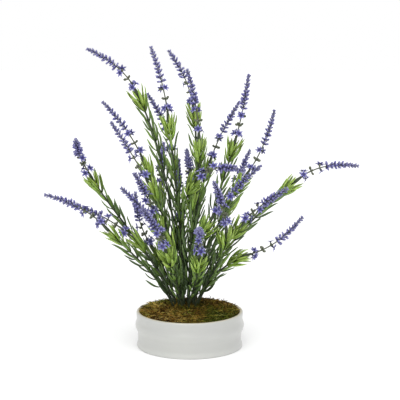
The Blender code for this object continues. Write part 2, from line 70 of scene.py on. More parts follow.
camera_data = bpy.data.cameras.new("camera")
camera_data.lens = CAMERA_LENS
camera_data.shift_x, camera_data.shift_y = CAMERA_SHIFT
camera = bpy.data.objects.new("camera", camera_data)
camera.location = (0.0, -CAMERA_DISTANCE, CAMERA_HEIGHT)
camera.rotation_euler = (math.radians(90.0 - CAMERA_PITCH), 0.0, 0.0)
bpy.context.scene.collection.objects.link(camera)
bpy.context.scene.camera = camera
print("Camera looks down by", CAMERA_PITCH, "degrees")

# %% [markdown]
# ## Short calls for shader nodes
#
# A material is a small graph. These helpers add a node, give its inputs either a value or a wire, and
# hand back a socket, so that each finish below reads from top to bottom like a recipe.

# %% Helpers for node graphs
def feed(tree, socket, value):
    """Wire another node's output into an input, or set a plain value; a colour gets its alpha."""
    if isinstance(value, bpy.types.NodeSocket):
        tree.links.new(value, socket)
    elif socket.type == "RGBA":
        socket.default_value = (*value, 1.0)
    else:
        socket.default_value = value


def add_node(tree, kind, inputs=None, **settings):
    """Add a node, set it up, and feed each named input."""
    made = tree.nodes.new("ShaderNode" + kind)
    for name, value in settings.items():
        setattr(made, name, value)
    for name, value in (inputs or {}).items():
        feed(tree, made.inputs[name], value)
    return made


def mixed(tree, share, first, second, how="MIX"):
    """The socket of two mixed colours: a Mix node takes them as inputs 6 and 7, and gives output 2."""
    return add_node(tree, "Mix", {0: share, 6: first, 7: second}, data_type="RGBA", blend_type=how).outputs[2]


def worked_out(tree, operation, first, second=0.0, clamp=False):
    """The socket of a Math node."""
    return add_node(tree, "Math", {0: first, 1: second}, operation=operation, use_clamp=clamp).outputs[0]


def remapped(tree, value, low, high, to_low=0.0, to_high=1.0):
    """A value moved from one range to another, and held inside it."""
    inputs = {"Value": value, "From Min": low, "From Max": high, "To Min": to_low, "To Max": to_high}
    return add_node(tree, "MapRange", inputs).outputs["Result"]


def painted(tree, name):
    """The number that the vertices carry under this name."""
    return add_node(tree, "Attribute", attribute_name=name).outputs["Fac"]


def colour_ramp(tree, value, stops):
    """A ramp through colours, each at its place."""
    ramp = add_node(tree, "ValToRGB", {"Fac": value})
    elements = ramp.color_ramp.elements
    while len(elements) < len(stops):
        elements.new(0.5)
    for element, (place, *colour) in zip(elements, stops):
        element.position = place
        element.color = (*colour, 1.0)
    return ramp.outputs["Color"]


def new_material(name):
    """An empty material with its tree and its shader."""
    material = bpy.data.materials.new(name)
    material.use_nodes = True
    return material, material.node_tree, material.node_tree.nodes["Principled BSDF"]

# %% [markdown]
# ## Floor and light
#
# The picture is a catalogue picture: a white ground with hardly any shadow, and broad light from above.
# A very wide sun, high and a little in front, does most of the work. One softbox in front and to the left
# puts a faint sheen on the glaze, and the pale sky lightens what is left. The sky is brighter where the
# camera sees it, so that floor and sky meet without a line.

# %% Build the floor and the lights
FLOOR_HALF_SIDE = 9.0
FLOOR_WHITE = (0.93, 0.93, 0.93)
FLOOR_ROUGHNESS = 0.9
SKY_WHITE = (1.0, 1.0, 1.0)
SKY_LIGHT = 0.78
SKY_SEEN = 1.0
SUN_STRENGTH = 1.9
SUN_SPREAD = 70.0
SUN_FROM = (0.0, -0.55, 1.0)
SOFTBOX_PLACE = (-0.7, -2.6, 1.5)
SOFTBOX_SIDE = 1.2
SOFTBOX_POWER = 7.0
SOFTBOX_AIM = (0.0, 0.0, 0.20)


def to_mesh(name, bm):
    """Turn a bmesh into a mesh, and free it."""
    mesh = bpy.data.meshes.new(name)
    bm.to_mesh(mesh)
    bm.free()
    return mesh


def build_floor():
    """One large pale sheet under the bowl."""
    material, tree, shader = new_material("floor_white")
    feed(tree, shader.inputs["Base Color"], FLOOR_WHITE)
    feed(tree, shader.inputs["Roughness"], FLOOR_ROUGHNESS)
    bm = bmesh.new()
    bmesh.ops.create_grid(bm, x_segments=1, y_segments=1, size=FLOOR_HALF_SIDE)
    floor = bpy.data.objects.new("floor", to_mesh("floor", bm))
    floor.data.materials.append(material)
    bpy.context.scene.collection.objects.link(floor)


def build_light(name, kind, place, aim, strength):
    """A lamp that points from its place to where it aims."""
    light = bpy.data.lights.new(name, kind)
    light.energy = strength
    lamp = bpy.data.objects.new(name, light)
    lamp.location = place
    lamp.rotation_euler = (Vector(aim) - Vector(place)).to_track_quat("-Z", "Y").to_euler()
    bpy.context.scene.collection.objects.link(lamp)
    return light


def build_sky():
    """A pale sky that lights softly and looks white."""
    world = bpy.data.worlds.new("sky")
    world.use_nodes = True
    bpy.context.scene.world = world
    tree = world.node_tree
    background = tree.nodes["Background"]
    seen = add_node(tree, "LightPath").outputs["Is Camera Ray"]
    feed(tree, background.inputs["Strength"], remapped(tree, seen, 0.0, 1.0, SKY_LIGHT, SKY_SEEN))
    feed(tree, background.inputs["Color"], SKY_WHITE)


build_floor()
build_sky()
ceiling = build_light("ceiling_light", "SUN", SUN_FROM, (0.0, 0.0, 0.0), SUN_STRENGTH)
ceiling.angle = math.radians(SUN_SPREAD)
softbox = build_light("softbox", "AREA", SOFTBOX_PLACE, SOFTBOX_AIM, SOFTBOX_POWER)
softbox.size = SOFTBOX_SIDE
bpy.context.scene.view_settings.view_transform = "Standard"
print("Sky light:", SKY_LIGHT, "and ceiling light:", SUN_STRENGTH)

# %% [markdown]
# ## Effects that several finishes share
#
# Nothing on the plant has one even colour. Moulded leaves were sprayed by hand, moss was dyed in the
# lump and a glaze pools. So one group shifts a colour up and down in soft patches, and a second one gives
# the fine unevenness that breaks up a highlight. Each is built once, and each finish sets its own scale.

# %% Build the shared groups
CLOUD_DETAIL = 3.0
CLOUD_STRETCH = 4.0
GRIT_DETAIL = 2.0
GRIT_RANGE = (0.3, 0.7)


def new_group(name, inputs, outputs):
    """An empty group with named sockets, and the sockets at its two ends."""
    tree = bpy.data.node_groups.new(name, "ShaderNodeTree")
    for way, sockets in (("INPUT", inputs), ("OUTPUT", outputs)):
        for socket, kind in sockets.items():
            tree.interface.new_socket(socket, in_out=way, socket_type="NodeSocket" + kind)
    return tree, tree.nodes.new("NodeGroupInput").outputs, tree.nodes.new("NodeGroupOutput").inputs


def speckle(tree, scale, detail):
    """Noise on the object's own coordinates."""
    where = add_node(tree, "TexCoord").outputs["Object"]
    return add_node(tree, "TexNoise", {"Vector": where, "Scale": scale, "Detail": detail}).outputs["Fac"]


# Soft patches: a colour that drifts towards a second one, and a mask of where.
PATCHES, given, result = new_group(
    "patches", {"Colour": "Color", "Other Colour": "Color", "Scale": "Float", "Contrast": "Float"},
    {"Colour": "Color", "Mask": "Float"})
centred = worked_out(PATCHES, "SUBTRACT", speckle(PATCHES, given["Scale"], CLOUD_DETAIL), 0.5)
stretched = worked_out(PATCHES, "MULTIPLY", centred, CLOUD_STRETCH)
swing = worked_out(PATCHES, "MULTIPLY", stretched, given["Contrast"])
mask = worked_out(PATCHES, "ADD", swing, 0.5, clamp=True)
feed(PATCHES, result["Colour"], mixed(PATCHES, mask, given["Colour"], given["Other Colour"]))
feed(PATCHES, result["Mask"], mask)

# Fine unevenness: a height for a bump, and a roughness that varies with it.
GRAIN, given, result = new_group(
    "grain", {"Scale": "Float", "Smoothest": "Float", "Roughest": "Float"},
    {"Height": "Float", "Roughness": "Float"})
grit = speckle(GRAIN, given["Scale"], GRIT_DETAIL)
feed(GRAIN, result["Height"], grit)
feed(GRAIN, result["Roughness"], remapped(GRAIN, grit, *GRIT_RANGE, given["Smoothest"], given["Roughest"]))


def patchy(tree, colour, other, scale, contrast):
    """The patches group, placed in a material between two colours."""
    inputs = {"Colour": colour, "Other Colour": other, "Scale": scale, "Contrast": contrast}
    return add_node(tree, "Group", inputs, node_tree=PATCHES).outputs


def grainy(tree, scale, smoothest, roughest):
    """The grain group, placed in a material with its own range of roughness."""
    inputs = {"Scale": scale, "Smoothest": smoothest, "Roughest": roughest}
    return add_node(tree, "Group", inputs, node_tree=GRAIN).outputs


def finish_surface(tree, shader, colour, grain, depth, relief=None):
    """Wire in a colour, the grain's roughness, and a bump of some depth from a relief or the grain."""
    height = grain["Height"] if relief is None else relief
    bump = add_node(tree, "Bump", {"Height": height, "Distance": depth, "Strength": 1.0})
    feed(tree, shader.inputs["Base Color"], colour)
    feed(tree, shader.inputs["Roughness"], grain["Roughness"])
    feed(tree, shader.inputs["Normal"], bump.outputs["Normal"])


print("Shared groups:", PATCHES.name, GRAIN.name)

# %% [markdown]
# ## Glaze
#
# The bowl is white stoneware under a soft, slightly grey glaze. Its colour is scaled up and down in bands by
# height, whiter in the hollow under the bead and a little greyer over the bead: this is painted light and
# shade. On the inner edge of the rim the warm clay shows through as a cream line. Both follow height and
# radius, so they are worked out from the place on the bowl.

# %% Make the glaze
RIM_HEIGHT = 0.066
GLAZE_WHITE = (0.512, 0.518, 0.490)
GLAZE_COOL = (0.485, 0.490, 0.474)
GLAZE_LIGHT_BANDS = (
    # share of the bowl's height, how much painted light and shade scale the glaze colour there
    (0.00, 0.960), (0.09, 0.955), (0.14, 0.920), (0.20, 0.900), (0.32, 0.915), (0.40, 0.960), (0.51, 1.000),
    (0.56, 0.980), (0.61, 0.920), (0.72, 0.885), (0.78, 0.895), (0.86, 0.917),
)
CLAY_CREAM = (0.500, 0.450, 0.300)
CREAM_RADII = (0.0977, 0.0957)
CREAM_HEIGHTS = (0.056, 0.062)
COAT_WEIGHT = 0.35
COAT_ROUGHNESS = 0.12

GLAZE, tree, shader = new_material("bowl_glaze")
where = add_node(tree, "TexCoord").outputs["Object"]
x, y, z = add_node(tree, "SeparateXYZ", {"Vector": where}).outputs
squares = worked_out(tree, "ADD", worked_out(tree, "MULTIPLY", x, x), worked_out(tree, "MULTIPLY", y, y))
inside = remapped(tree, worked_out(tree, "SQRT", squares), *CREAM_RADII)
thin = worked_out(tree, "MULTIPLY", inside, remapped(tree, z, *CREAM_HEIGHTS))
share = remapped(tree, z, 0.0, RIM_HEIGHT)
# Painted light and shade: the glaze colour is scaled up and down in bands by height.
painted_light = colour_ramp(tree, share, [(place, depth, depth, depth) for place, depth in GLAZE_LIGHT_BANDS])
patches = patchy(tree, GLAZE_WHITE, GLAZE_COOL, scale=14.0, contrast=0.5)
banded_glaze = mixed(tree, 1.0, patches["Colour"], painted_light, "MULTIPLY")
grain = grainy(tree, scale=45.0, smoothest=0.30, roughest=0.42)
finish_surface(tree, shader, mixed(tree, thin, banded_glaze, CLAY_CREAM), grain, depth=0.00003)
feed(tree, shader.inputs["Coat Weight"], COAT_WEIGHT)
feed(tree, shader.inputs["Coat Roughness"], COAT_ROUGHNESS)
print("Glaze in", len(GLAZE_LIGHT_BANDS), "painted_light_bands")

# %% [markdown]
# ## Foam and moss
#
# The foam block is what the stems are pushed into. It is a dry green foam with open pores, and hardly any of
# it shows. The moss is preserved and dyed: brown and ochre for the most part, with olive and green tufts.
# Each strand carries a number that says which patch of dye it comes from, and one, called its height, for how
# much light it gets: painted shade darkens the hollows between the tufts, and the most lit tops are mixed
# towards straw, which is partly straw colour and partly painted highlight.

# %% Make the foam and the moss
FOAM_GREEN = (0.120, 0.200, 0.090)
FOAM_DARK = (0.050, 0.095, 0.040)
MOSS_STRAW_HIGHLIGHT = (0.500, 0.430, 0.170)
MOSS_DYES = (
    # share of the way through the dyes, colour
    (0.00, 0.080, 0.034, 0.004),
    (0.25, 0.210, 0.100, 0.010),
    (0.45, 0.470, 0.300, 0.050),
    (0.62, 0.270, 0.230, 0.020),
    (0.80, 0.150, 0.160, 0.012),
    (1.00, 0.160, 0.215, 0.016),
)
MOST_LIT_STRAND = 1.3
DARKEST_PAINTED_SHADE = 0.12
PAINTED_SHADE_POWER = 1.8
STRAW_HIGHLIGHT_BY_LIGHT = (0.6, 1.0, 0.0, 0.5)
MOSS_SHEEN = 0.1

FOAM, tree, shader = new_material("dry_foam")
pores = patchy(tree, FOAM_GREEN, FOAM_DARK, scale=120.0, contrast=1.0)
grain = grainy(tree, scale=1600.0, smoothest=0.85, roughest=0.98)
finish_surface(tree, shader, pores["Colour"], grain, depth=0.0006, relief=pores["Mask"])

MOSS, tree, shader = new_material("dyed_moss")
dyed = colour_ramp(tree, painted(tree, "tint"), MOSS_DYES)
# Painted light: the strand's light number darkens the hollows with painted shade and mixes the most lit tops
# towards straw, partly straw colour and partly painted highlight.
light_share = remapped(tree, painted(tree, "height"), 0.0, MOST_LIT_STRAND, DARKEST_PAINTED_SHADE, MOST_LIT_STRAND)
depth = worked_out(tree, "POWER", light_share, PAINTED_SHADE_POWER)
straw_and_highlight = mixed(tree, remapped(tree, depth, *STRAW_HIGHLIGHT_BY_LIGHT), dyed, MOSS_STRAW_HIGHLIGHT)
mottled = patchy(tree, dyed, straw_and_highlight, scale=260.0, contrast=1.2)
shaded = mixed(tree, 1.0, mottled["Colour"], depth, "MULTIPLY")
grain = grainy(tree, scale=2500.0, smoothest=0.75, roughest=0.95)
finish_surface(tree, shader, shaded, grain, depth=0.0001)
feed(tree, shader.inputs["Specular IOR Level"], MOSS_SHEEN)
print("Moss in", len(MOSS_DYES), "dyes")

# %% [markdown]
# ## Leaf, stalk and flower
#
# Leaves and flowers are moulded in one plastic each and tinted by hand: old leaves low on a stem are a dark
# grey-green, and the tuft at its end is a bright yellow-green. Every vertex carries four numbers: `along`
# runs from a blade's root to its tip, `across` from its midrib to its edge, `age` from young to old, and
# `shade` is drawn once for each blade. The colours are read from these. Light and shade are painted in too:
# each blade's root gets painted shade, `shade` darkens some blades towards the shadow colour, and on others
# it pales the tip with a sheen, grey on old leaves, which is partly dust and partly painted highlight.

# %% Make the leaf finish
LEAF_AGES = (
    (0.00, 0.440, 0.650, 0.066),
    (0.20, 0.300, 0.540, 0.032),
    (0.42, 0.172, 0.322, 0.022),
    (0.70, 0.060, 0.122, 0.016),
    (1.00, 0.020, 0.046, 0.008),
)
LEAF_PALE = (0.470, 0.570, 0.270)
LEAF_DUSTY_SHEEN = (0.200, 0.250, 0.190)
LEAF_SHADOW = (0.004, 0.014, 0.001)
LEAF_MOTTLE = 0.35
# Each range holds from low, from high, and what these become where that isn't 0 and 1.
ROOT_SHADOW = (0.0, 0.35, 0.45, 0.0)
TIP_BLOOM_AND_SHEEN = (0.1, 1.0, 0.10, 0.50)
DIM_BLADES = (0.0, 0.55, 0.72, 0.0)
DUST_AND_SHEEN_AGES = (0.1, 0.6)
PALE_RIB = (0.06, 0.30, 0.40, 0.0)
RIB_GROOVE = (0.0, 0.35)
GRIT_ON_LEAF = 0.3

LEAF, tree, shader = new_material("moulded_leaf")
along, across, age, shade = (painted(tree, name) for name in ("along", "across", "age", "shade"))
# Painted shade at the root of each blade and on the blades that `shade` dims; on the others a pale tip that
# is partly dust and partly painted highlight.
rooted = mixed(tree, remapped(tree, along, *ROOT_SHADOW), colour_ramp(tree, age, LEAF_AGES), LEAF_SHADOW)
dim = mixed(tree, remapped(tree, shade, *DIM_BLADES), rooted, LEAF_SHADOW)
dust_and_sheen = mixed(tree, remapped(tree, age, *DUST_AND_SHEEN_AGES), LEAF_PALE, LEAF_DUSTY_SHEEN)
bloom_and_sheen = worked_out(tree, "MULTIPLY", shade, remapped(tree, along, *TIP_BLOOM_AND_SHEEN))
dusty_and_sheened = mixed(tree, bloom_and_sheen, dim, dust_and_sheen)
ribbed = mixed(tree, remapped(tree, across, *PALE_RIB), dusty_and_sheened, dust_and_sheen)
patches = patchy(tree, ribbed, mixed(tree, LEAF_MOTTLE, ribbed, LEAF_SHADOW), scale=160.0, contrast=0.7)
grain = grainy(tree, scale=1800.0, smoothest=0.30, roughest=0.46)
grit = worked_out(tree, "MULTIPLY", grain["Height"], GRIT_ON_LEAF)
relief = worked_out(tree, "ADD", remapped(tree, across, *RIB_GROOVE), grit)
finish_surface(tree, shader, patches["Colour"], grain, depth=0.0002, relief=relief)
print("Leaves in", len(LEAF_AGES), "ages")

# %% [markdown]
# The stems, the sockets and the flower stalks are the same plastic over wire, without the rib. They go from
# a dark green at the bowl to an olive grey at the flowers, and are rubbed paler in places.

# %% Make the stalk finish
STALK_AGES = (
    (0.00, 0.170, 0.172, 0.125),
    (0.50, 0.062, 0.080, 0.042),
    (1.00, 0.012, 0.028, 0.007),
)
STALK_WORN = (0.150, 0.160, 0.100)
STALK_WEAR = 0.25

STALK, tree, shader = new_material("stalk_green")
green = colour_ramp(tree, painted(tree, "age"), STALK_AGES)
patches = patchy(tree, green, mixed(tree, STALK_WEAR, green, STALK_WORN), scale=220.0, contrast=1.0)
grain = grainy(tree, scale=1500.0, smoothest=0.40, roughest=0.62)
finish_surface(tree, shader, patches["Colour"], grain, depth=0.0001)
print("Stalks in", len(STALK_AGES), "ages")

# %% [markdown]
# A floret is dark at its root and violet at its mouth: the dark root is partly painted shade between the
# florets, and the pale mouth partly a painted highlight. The open flowers are paler, with a deep blue heart.
# `age` tells them apart, and it also fades the florets near a spike's tip towards grey. `shade` pales some
# flowers as if lit, which is painted light.

# %% Make the flower finish
FLORET_STOPS = (
    (0.00, 0.030, 0.045, 0.045),
    (0.30, 0.048, 0.042, 0.150),
    (0.65, 0.136, 0.127, 0.376),
    (1.00, 0.345, 0.342, 0.650),
)
STAR_STOPS = (
    (0.00, 0.018, 0.020, 0.060),
    (0.22, 0.050, 0.046, 0.270),
    (0.50, 0.210, 0.204, 0.490),
    (1.00, 0.440, 0.440, 0.670),
)
FADED_VIOLET = (0.330, 0.328, 0.430)
DEEP_VIOLET = FLORET_STOPS[1][1:]
STAR_AGES = (0.9, 1.0)
FADING_AGES = (0.3, 0.8)
NEVER_STARS = (0.9, 0.85)
FADED_SHARE = 0.35
PALE_BLADES = (0.3, 1.0, 0.0, 0.35)
DEEP_SHARE = 0.4

FLOWER, tree, shader = new_material("lavender_violet")
along, age, shade = (painted(tree, name) for name in ("along", "age", "shade"))
florets, stars = colour_ramp(tree, along, FLORET_STOPS), colour_ramp(tree, along, STAR_STOPS)
tinted = mixed(tree, remapped(tree, age, *STAR_AGES), florets, stars)
old, no_star = remapped(tree, age, *FADING_AGES), remapped(tree, age, *NEVER_STARS)
fading = worked_out(tree, "MULTIPLY", worked_out(tree, "MULTIPLY", old, no_star), FADED_SHARE)
faded = mixed(tree, fading, tinted, FADED_VIOLET)
# Painted light: `shade` pales some flowers as if lit.
lit = mixed(tree, remapped(tree, shade, *PALE_BLADES), faded, FADED_VIOLET)
patches = patchy(tree, lit, mixed(tree, DEEP_SHARE, lit, DEEP_VIOLET), scale=300.0, contrast=0.8)
grain = grainy(tree, scale=2200.0, smoothest=0.50, roughest=0.72)
finish_surface(tree, shader, patches["Colour"], grain, depth=0.0001)
print("Finishes:", ", ".join(material.name for material in (GLAZE, FOAM, MOSS, LEAF, STALK, FLOWER)))

# %% [markdown]
# ## Short calls for shapes
#
# The plant has thousands of leaves and florets, but only a handful of shapes. Each shape is modelled once,
# small and upright on the Z axis, and then copied with its own size, turn and shade. `turned` spins an
# outline about Z, and `blade` makes leaves, petals and bracts from one flat grid.

# %% Helpers for shapes
MERGE = 1e-7


def paint(bm, **numbers):
    """Write numbers on every vertex; each is plain, or a rule that reads the vertex's place."""
    for name, rule in numbers.items():
        layer = bm.verts.layers.float.new(name)
        for vert in bm.verts:
            vert[layer] = rule(vert.co) if callable(rule) else rule


def keep_shape(name, bm):
    """Turn a bmesh into a mesh whose faces point outwards."""
    bmesh.ops.recalc_face_normals(bm, faces=bm.faces)
    return to_mesh(name, bm)


def turned(name, outline, sides, along=lambda co: co.z, age=0.0):
    """Spin an outline of (radius, height) points about Z; both its ends are on the axis."""
    bm = bmesh.new()
    verts = [bm.verts.new((radius, 0.0, height)) for radius, height in outline]
    edges = [bm.edges.new(pair) for pair in zip(verts, verts[1:])]
    bmesh.ops.spin(bm, geom=verts + edges, cent=(0, 0, 0), axis=(0, 0, 1), dvec=(0, 0, 0),
                   angle=math.tau, steps=sides, use_merge=True)
    bmesh.ops.remove_doubles(bm, verts=bm.verts, dist=MERGE)
    paint(bm, along=along, across=1.0, age=age, shade=0.0)
    return keep_shape(name, bm)


def add_copy(bm, shape, matrix, **values):
    """Add a copy of a shape, with its own value for any of the painted numbers."""
    copy = shape.copy()
    copy.transform(matrix)
    for name, value in values.items():
        flat = np.full(len(copy.vertices), value, dtype=np.float32)
        copy.attributes[name].data.foreach_set("value", flat)
    bm.from_mesh(copy)
    bpy.data.meshes.remove(copy)


def finish_piece(name, mesh, material, slot, *nodes):
    """Show a mesh as a piece that stands for plain nodes and rides with them."""
    mesh.name = name
    mesh.materials.append(material)
    mesh.shade_smooth()
    piece = bpy.data.objects.new(name, mesh)
    bpy.context.scene.collection.objects.link(piece)
    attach(piece, "root")
    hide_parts(*nodes)
    return piece


def triangles(*meshes):
    """How many triangles the meshes have in all."""
    return sum(len(polygon.vertices) - 2 for mesh in meshes for polygon in mesh.polygons)


def between(ends, share):
    """The number that lies this share of the way from the first to the second."""
    return ends[0] + (ends[1] - ends[0]) * share


def ring(count, start=0.0):
    """Evenly spaced angles for what stands round a stalk."""
    return [start + math.tau * index / count for index in range(count)]

# %% [markdown]
# ## The bowl
#
# The bowl was thrown or slip cast, so it is round: an outline turned about its axis. From below it has a
# flat base, a rounded foot, a shallow neck, a soft bead under the rim and a rounded lip. Spinning an
# outline is the shortest way to it, and arcs keep the lip and the foot soft.

# %% Turn the bowl
# Stations of the outside, from below: radius, height.
FOOT = (0.0974, 0.0018)
NECK = (0.0953, 0.012)
UNDER_BEAD = (0.0956, 0.023)
BEAD = (0.1001, 0.040)
WAIST = (0.0976, 0.052)
RIM_RADIUS = 0.0983
WALL = 0.0065
LIP = WALL / 2
RIM_SIDE = (RIM_RADIUS, RIM_HEIGHT - LIP)
STATIONS = (FOOT, NECK, UNDER_BEAD, BEAD, WAIST, RIM_SIDE)
CURVE_FACES = (6, 4, 8, 8, 4)
FOOT_ROUND = 0.0018
BOWL_FLOOR = 0.007
FLOOR_ROUND = 0.003
BOWL_SIDES = 160
SHARP_ANGLE = 50.0


def arc(centre, radius, start, end, steps):
    """Points on an arc, with its angles in degrees."""
    angles = [math.radians(between((start, end), index / steps)) for index in range(steps + 1)]
    return [(centre[0] + radius * math.cos(angle), centre[1] + radius * math.sin(angle)) for angle in angles]


def eased(start, end, steps):
    """Points after the first, up to the second, on a curve that leaves and arrives upright."""
    points = []
    for index in range(1, steps + 1):
        share = index / steps
        ease = share * share * (3.0 - 2.0 * share)
        points.append((between((start[0], end[0]), ease), between((start[1], end[1]), share)))
    return points


def inner_radius(height):
    """The bowl's inner wall at a height."""
    return between((NECK[0], RIM_RADIUS), (height - BOWL_FLOOR) / (RIM_HEIGHT - BOWL_FLOOR)) - WALL


outline = [(0.0, 0.0)] + arc((FOOT[0] - FOOT_ROUND, FOOT_ROUND), FOOT_ROUND, -90.0, 0.0, 8)
for low, high, faces in zip(STATIONS, STATIONS[1:], CURVE_FACES):
    outline += eased(low, high, faces)
outline += arc((RIM_RADIUS - LIP, RIM_HEIGHT - LIP), LIP, 0.0, 180.0, 12)[1:]
outline += [(inner_radius(BOWL_FLOOR + FLOOR_ROUND), BOWL_FLOOR + FLOOR_ROUND)]
outline += [(inner_radius(BOWL_FLOOR) - FLOOR_ROUND, BOWL_FLOOR), (0.0, BOWL_FLOOR)]
bowl = finish_piece("glazed_bowl", turned("glazed_bowl", outline, BOWL_SIDES), GLAZE, "glaze", "bowl")
bowl.data.set_sharp_from_angle(angle=math.radians(SHARP_ANGLE))
foam_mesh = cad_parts["filler"].data
foam_mesh.materials.clear()
foam_mesh.materials.append(FOAM)
print("Bowl:", triangles(bowl.data), "triangles")

# %% [markdown]
# ## The lie of the moss
#
# Real preserved moss is a springy mat in tufts and hollows, domed a little towards the stems. Its dye drifts
# from brown over ochre to green. One side is paler, and the middle, where the stems stand, is darkened by the
# stems' painted shadow. Height, dye and this painted light are functions of the place, so that the mat and
# every strand on it agree.

# %% Say how the moss lies
MOSS_EDGE = 0.0635
MOSS_CROWN = 0.0740
MOSS_LUMP = 0.0030
MOSS_GAP = 0.0008
MOSS_LEVELLING = 0.7
MOSS_RADIUS = inner_radius(MOSS_EDGE) - MOSS_GAP
# Each cloud of noise: its scale, the slice through it, how much it counts, and a shift along X.
LUMP_CLOUDS = ((95.0, 3.1, 0.75, 0.0), (260.0, 7.7, 0.35, 0.0))
DYE_CLOUDS = ((34.0, 1.0, 0.40, 5.0), (130.0, 9.0, 0.30, 0.0))
DYE_MIDDLE = 0.52
DYE_CORNERS = 100.0
# Painted shadow of the stems: the moss is darker round this place. The side towards -X is made paler.
STEM_SHADOW_PLACE = (0.018, -0.005)
STEM_SHADOW_WIDTH = 0.070
STEM_SHADOW_LEVEL = 0.66
PALE_SIDE = 4.0


def drift(middle, clouds, x, y):
    """A number that drifts from place to place about its middle."""
    for scale, cut, share, shift in clouds:
        middle += share * noise.noise(Vector((x * scale + shift, y * scale, cut)))
    return middle


def lumps(x, y):
    """How high the mat stands at a place, from 0 in a hollow to 1 on a tuft."""
    return min(1.0, max(0.0, drift(0.5, LUMP_CLOUDS, x, y)))


def dye(x, y):
    """Which dye the moss has at a place, greener in two opposite quarters."""
    return drift(DYE_MIDDLE, DYE_CLOUDS, x, y) - DYE_CORNERS * x * y


def pale_side_and_stem_shadow(x, y):
    """How pale the moss is at a place: paler at the -X side, and darkened in the middle by the stems' painted
    shadow.
    """
    dark = Vector((x - STEM_SHADOW_PLACE[0], y - STEM_SHADOW_PLACE[1])).length / STEM_SHADOW_WIDTH
    return STEM_SHADOW_LEVEL + (1.0 - STEM_SHADOW_LEVEL) * min(1.0, dark) + PALE_SIDE * max(0.0, -x)


def moss_top(x, y):
    """The mat's height: a low dome with tufts and hollows, which level out at the wall."""
    share = min(1.0, math.hypot(x, y) / MOSS_RADIUS)
    dome = (MOSS_CROWN - MOSS_EDGE) * (1.0 - share ** 2)
    return MOSS_EDGE + dome + MOSS_LUMP * (lumps(x, y) - 0.5) * 2.0 * (1.0 - MOSS_LEVELLING * share ** 8)


print("Moss is", round(2.0 * MOSS_RADIUS, 3), "m across")

# %% [markdown]
# ## The bed of moss
#
# Moss has no surface of its own: what one sees is strands that cross each other over dark gaps. A lumpy mat
# closes the bowl underneath, and it is dark: its colour is painted shade that stands for the gaps. On it lie
# thousands of strands of two kinds, coarse ones that are nearly straight and short curly ones. They follow
# the lumps and stand up a little at random, and a few whiskers stand up steeply.

# %% Lay the mat
MOSS_LOW = 0.0546
MAT_RINGS = 48
MAT_SIDES = 120
# The mat's colour is painted shade for the gaps between the strands: its tint is moved browner and its light
# number is kept low.
MAT_BROWNER = 0.15
MAT_LIGHT = 0.25

outline = [(0.0, MOSS_LOW), (MOSS_RADIUS, MOSS_LOW)]
outline += [(MOSS_RADIUS * (1.0 - index / MAT_RINGS), MOSS_EDGE) for index in range(MAT_RINGS + 1)]
mesh = turned("moss_mat", outline, MAT_SIDES)
tints, heights = (mesh.attributes.new(name, "FLOAT", "POINT").data for name in ("tint", "height"))
for vert in mesh.vertices:
    x, y, z = vert.co
    tints[vert.index].value = dye(x, y) - MAT_BROWNER
    heights[vert.index].value = MAT_LIGHT * lumps(x, y) * pale_side_and_stem_shadow(x, y)
    if z > MOSS_LOW + 0.001:
        vert.co.z = moss_top(x, y)
mat = finish_piece("moss_mat", mesh, MOSS, "moss_fibre", "moss")
print("Moss mat:", triangles(mat.data), "triangles")

# %% Strew the strands
STRANDS = (
    # piece, how many, their lengths, their width, rows of faces, how far they sway
    ("moss_strands", 4800, (0.007, 0.018), 0.0010, 4, 0.12),
    ("moss_curls", 3600, (0.005, 0.013), 0.0007, 6, 0.20),
)
STRAND_SHAPES = 8
STRAND_SWAYS = (0.5, 1.3)
STRAND_RISES = (0.02, 0.10)
STRAND_WAVES = 0.23
STRAND_ARCHES = 0.7
STRAND_POINTED = 0.75
RIDGE_NARROWER = 0.8
RIDGE_HEIGHT = 1.6
SLOPE_STEP = 0.003
SLOPE_FOLLOWED = 0.6
STRAND_LIFTS = (0.02, 0.35)
WHISKERS = 60
WHISKER_LIFTS = (0.5, 1.1)
STRAND_FLOAT = 0.0001
DYE_SCATTER = 0.14
LUMP_LIGHT = 0.70
LIGHT_SCATTER = (-0.20, 0.6)
EDGE_MARGIN = 0.003
EDGE_REACH = 0.004
MOSS_SEED = 5


def strand_shape(name, slimness, rows, sway, rng):
    """A thin ridged strand of length 1 that wavers as it goes."""
    bm = bmesh.new()
    bmesh.ops.create_grid(bm, x_segments=1, y_segments=rows, size=0.5)
    bmesh.ops.translate(bm, verts=bm.verts, vec=(0.0, 0.5, 0.0))
    made = bmesh.ops.extrude_face_region(bm, geom=bm.faces[:])["geom"]
    ridge = [item for item in made if isinstance(item, bmesh.types.BMVert)]
    bmesh.ops.translate(bm, verts=ridge, vec=(0.0, 0.0, 1.0))
    paint(bm, tint=0.0, height=0.0)
    sway *= rng.uniform(*STRAND_SWAYS)
    rise = rng.uniform(*STRAND_RISES)
    phase = rng.uniform(0.0, math.tau)
    for vert in bm.verts:
        side, share, top = vert.co
        slim = slimness / 2.0 * (1.0 - STRAND_POINTED * abs(share * 2.0 - 1.0) ** 3)
        wave = math.sin(share * math.tau * rows * STRAND_WAVES + phase)
        lift = math.sin(share * math.tau * STRAND_ARCHES + phase * 2.0)
        vert.co = (side * 2.0 * slim * (1.0 - RIDGE_NARROWER * top) + sway * wave, share,
                   top * slim * RIDGE_HEIGHT + rise * lift)
    return keep_shape(name, bm)


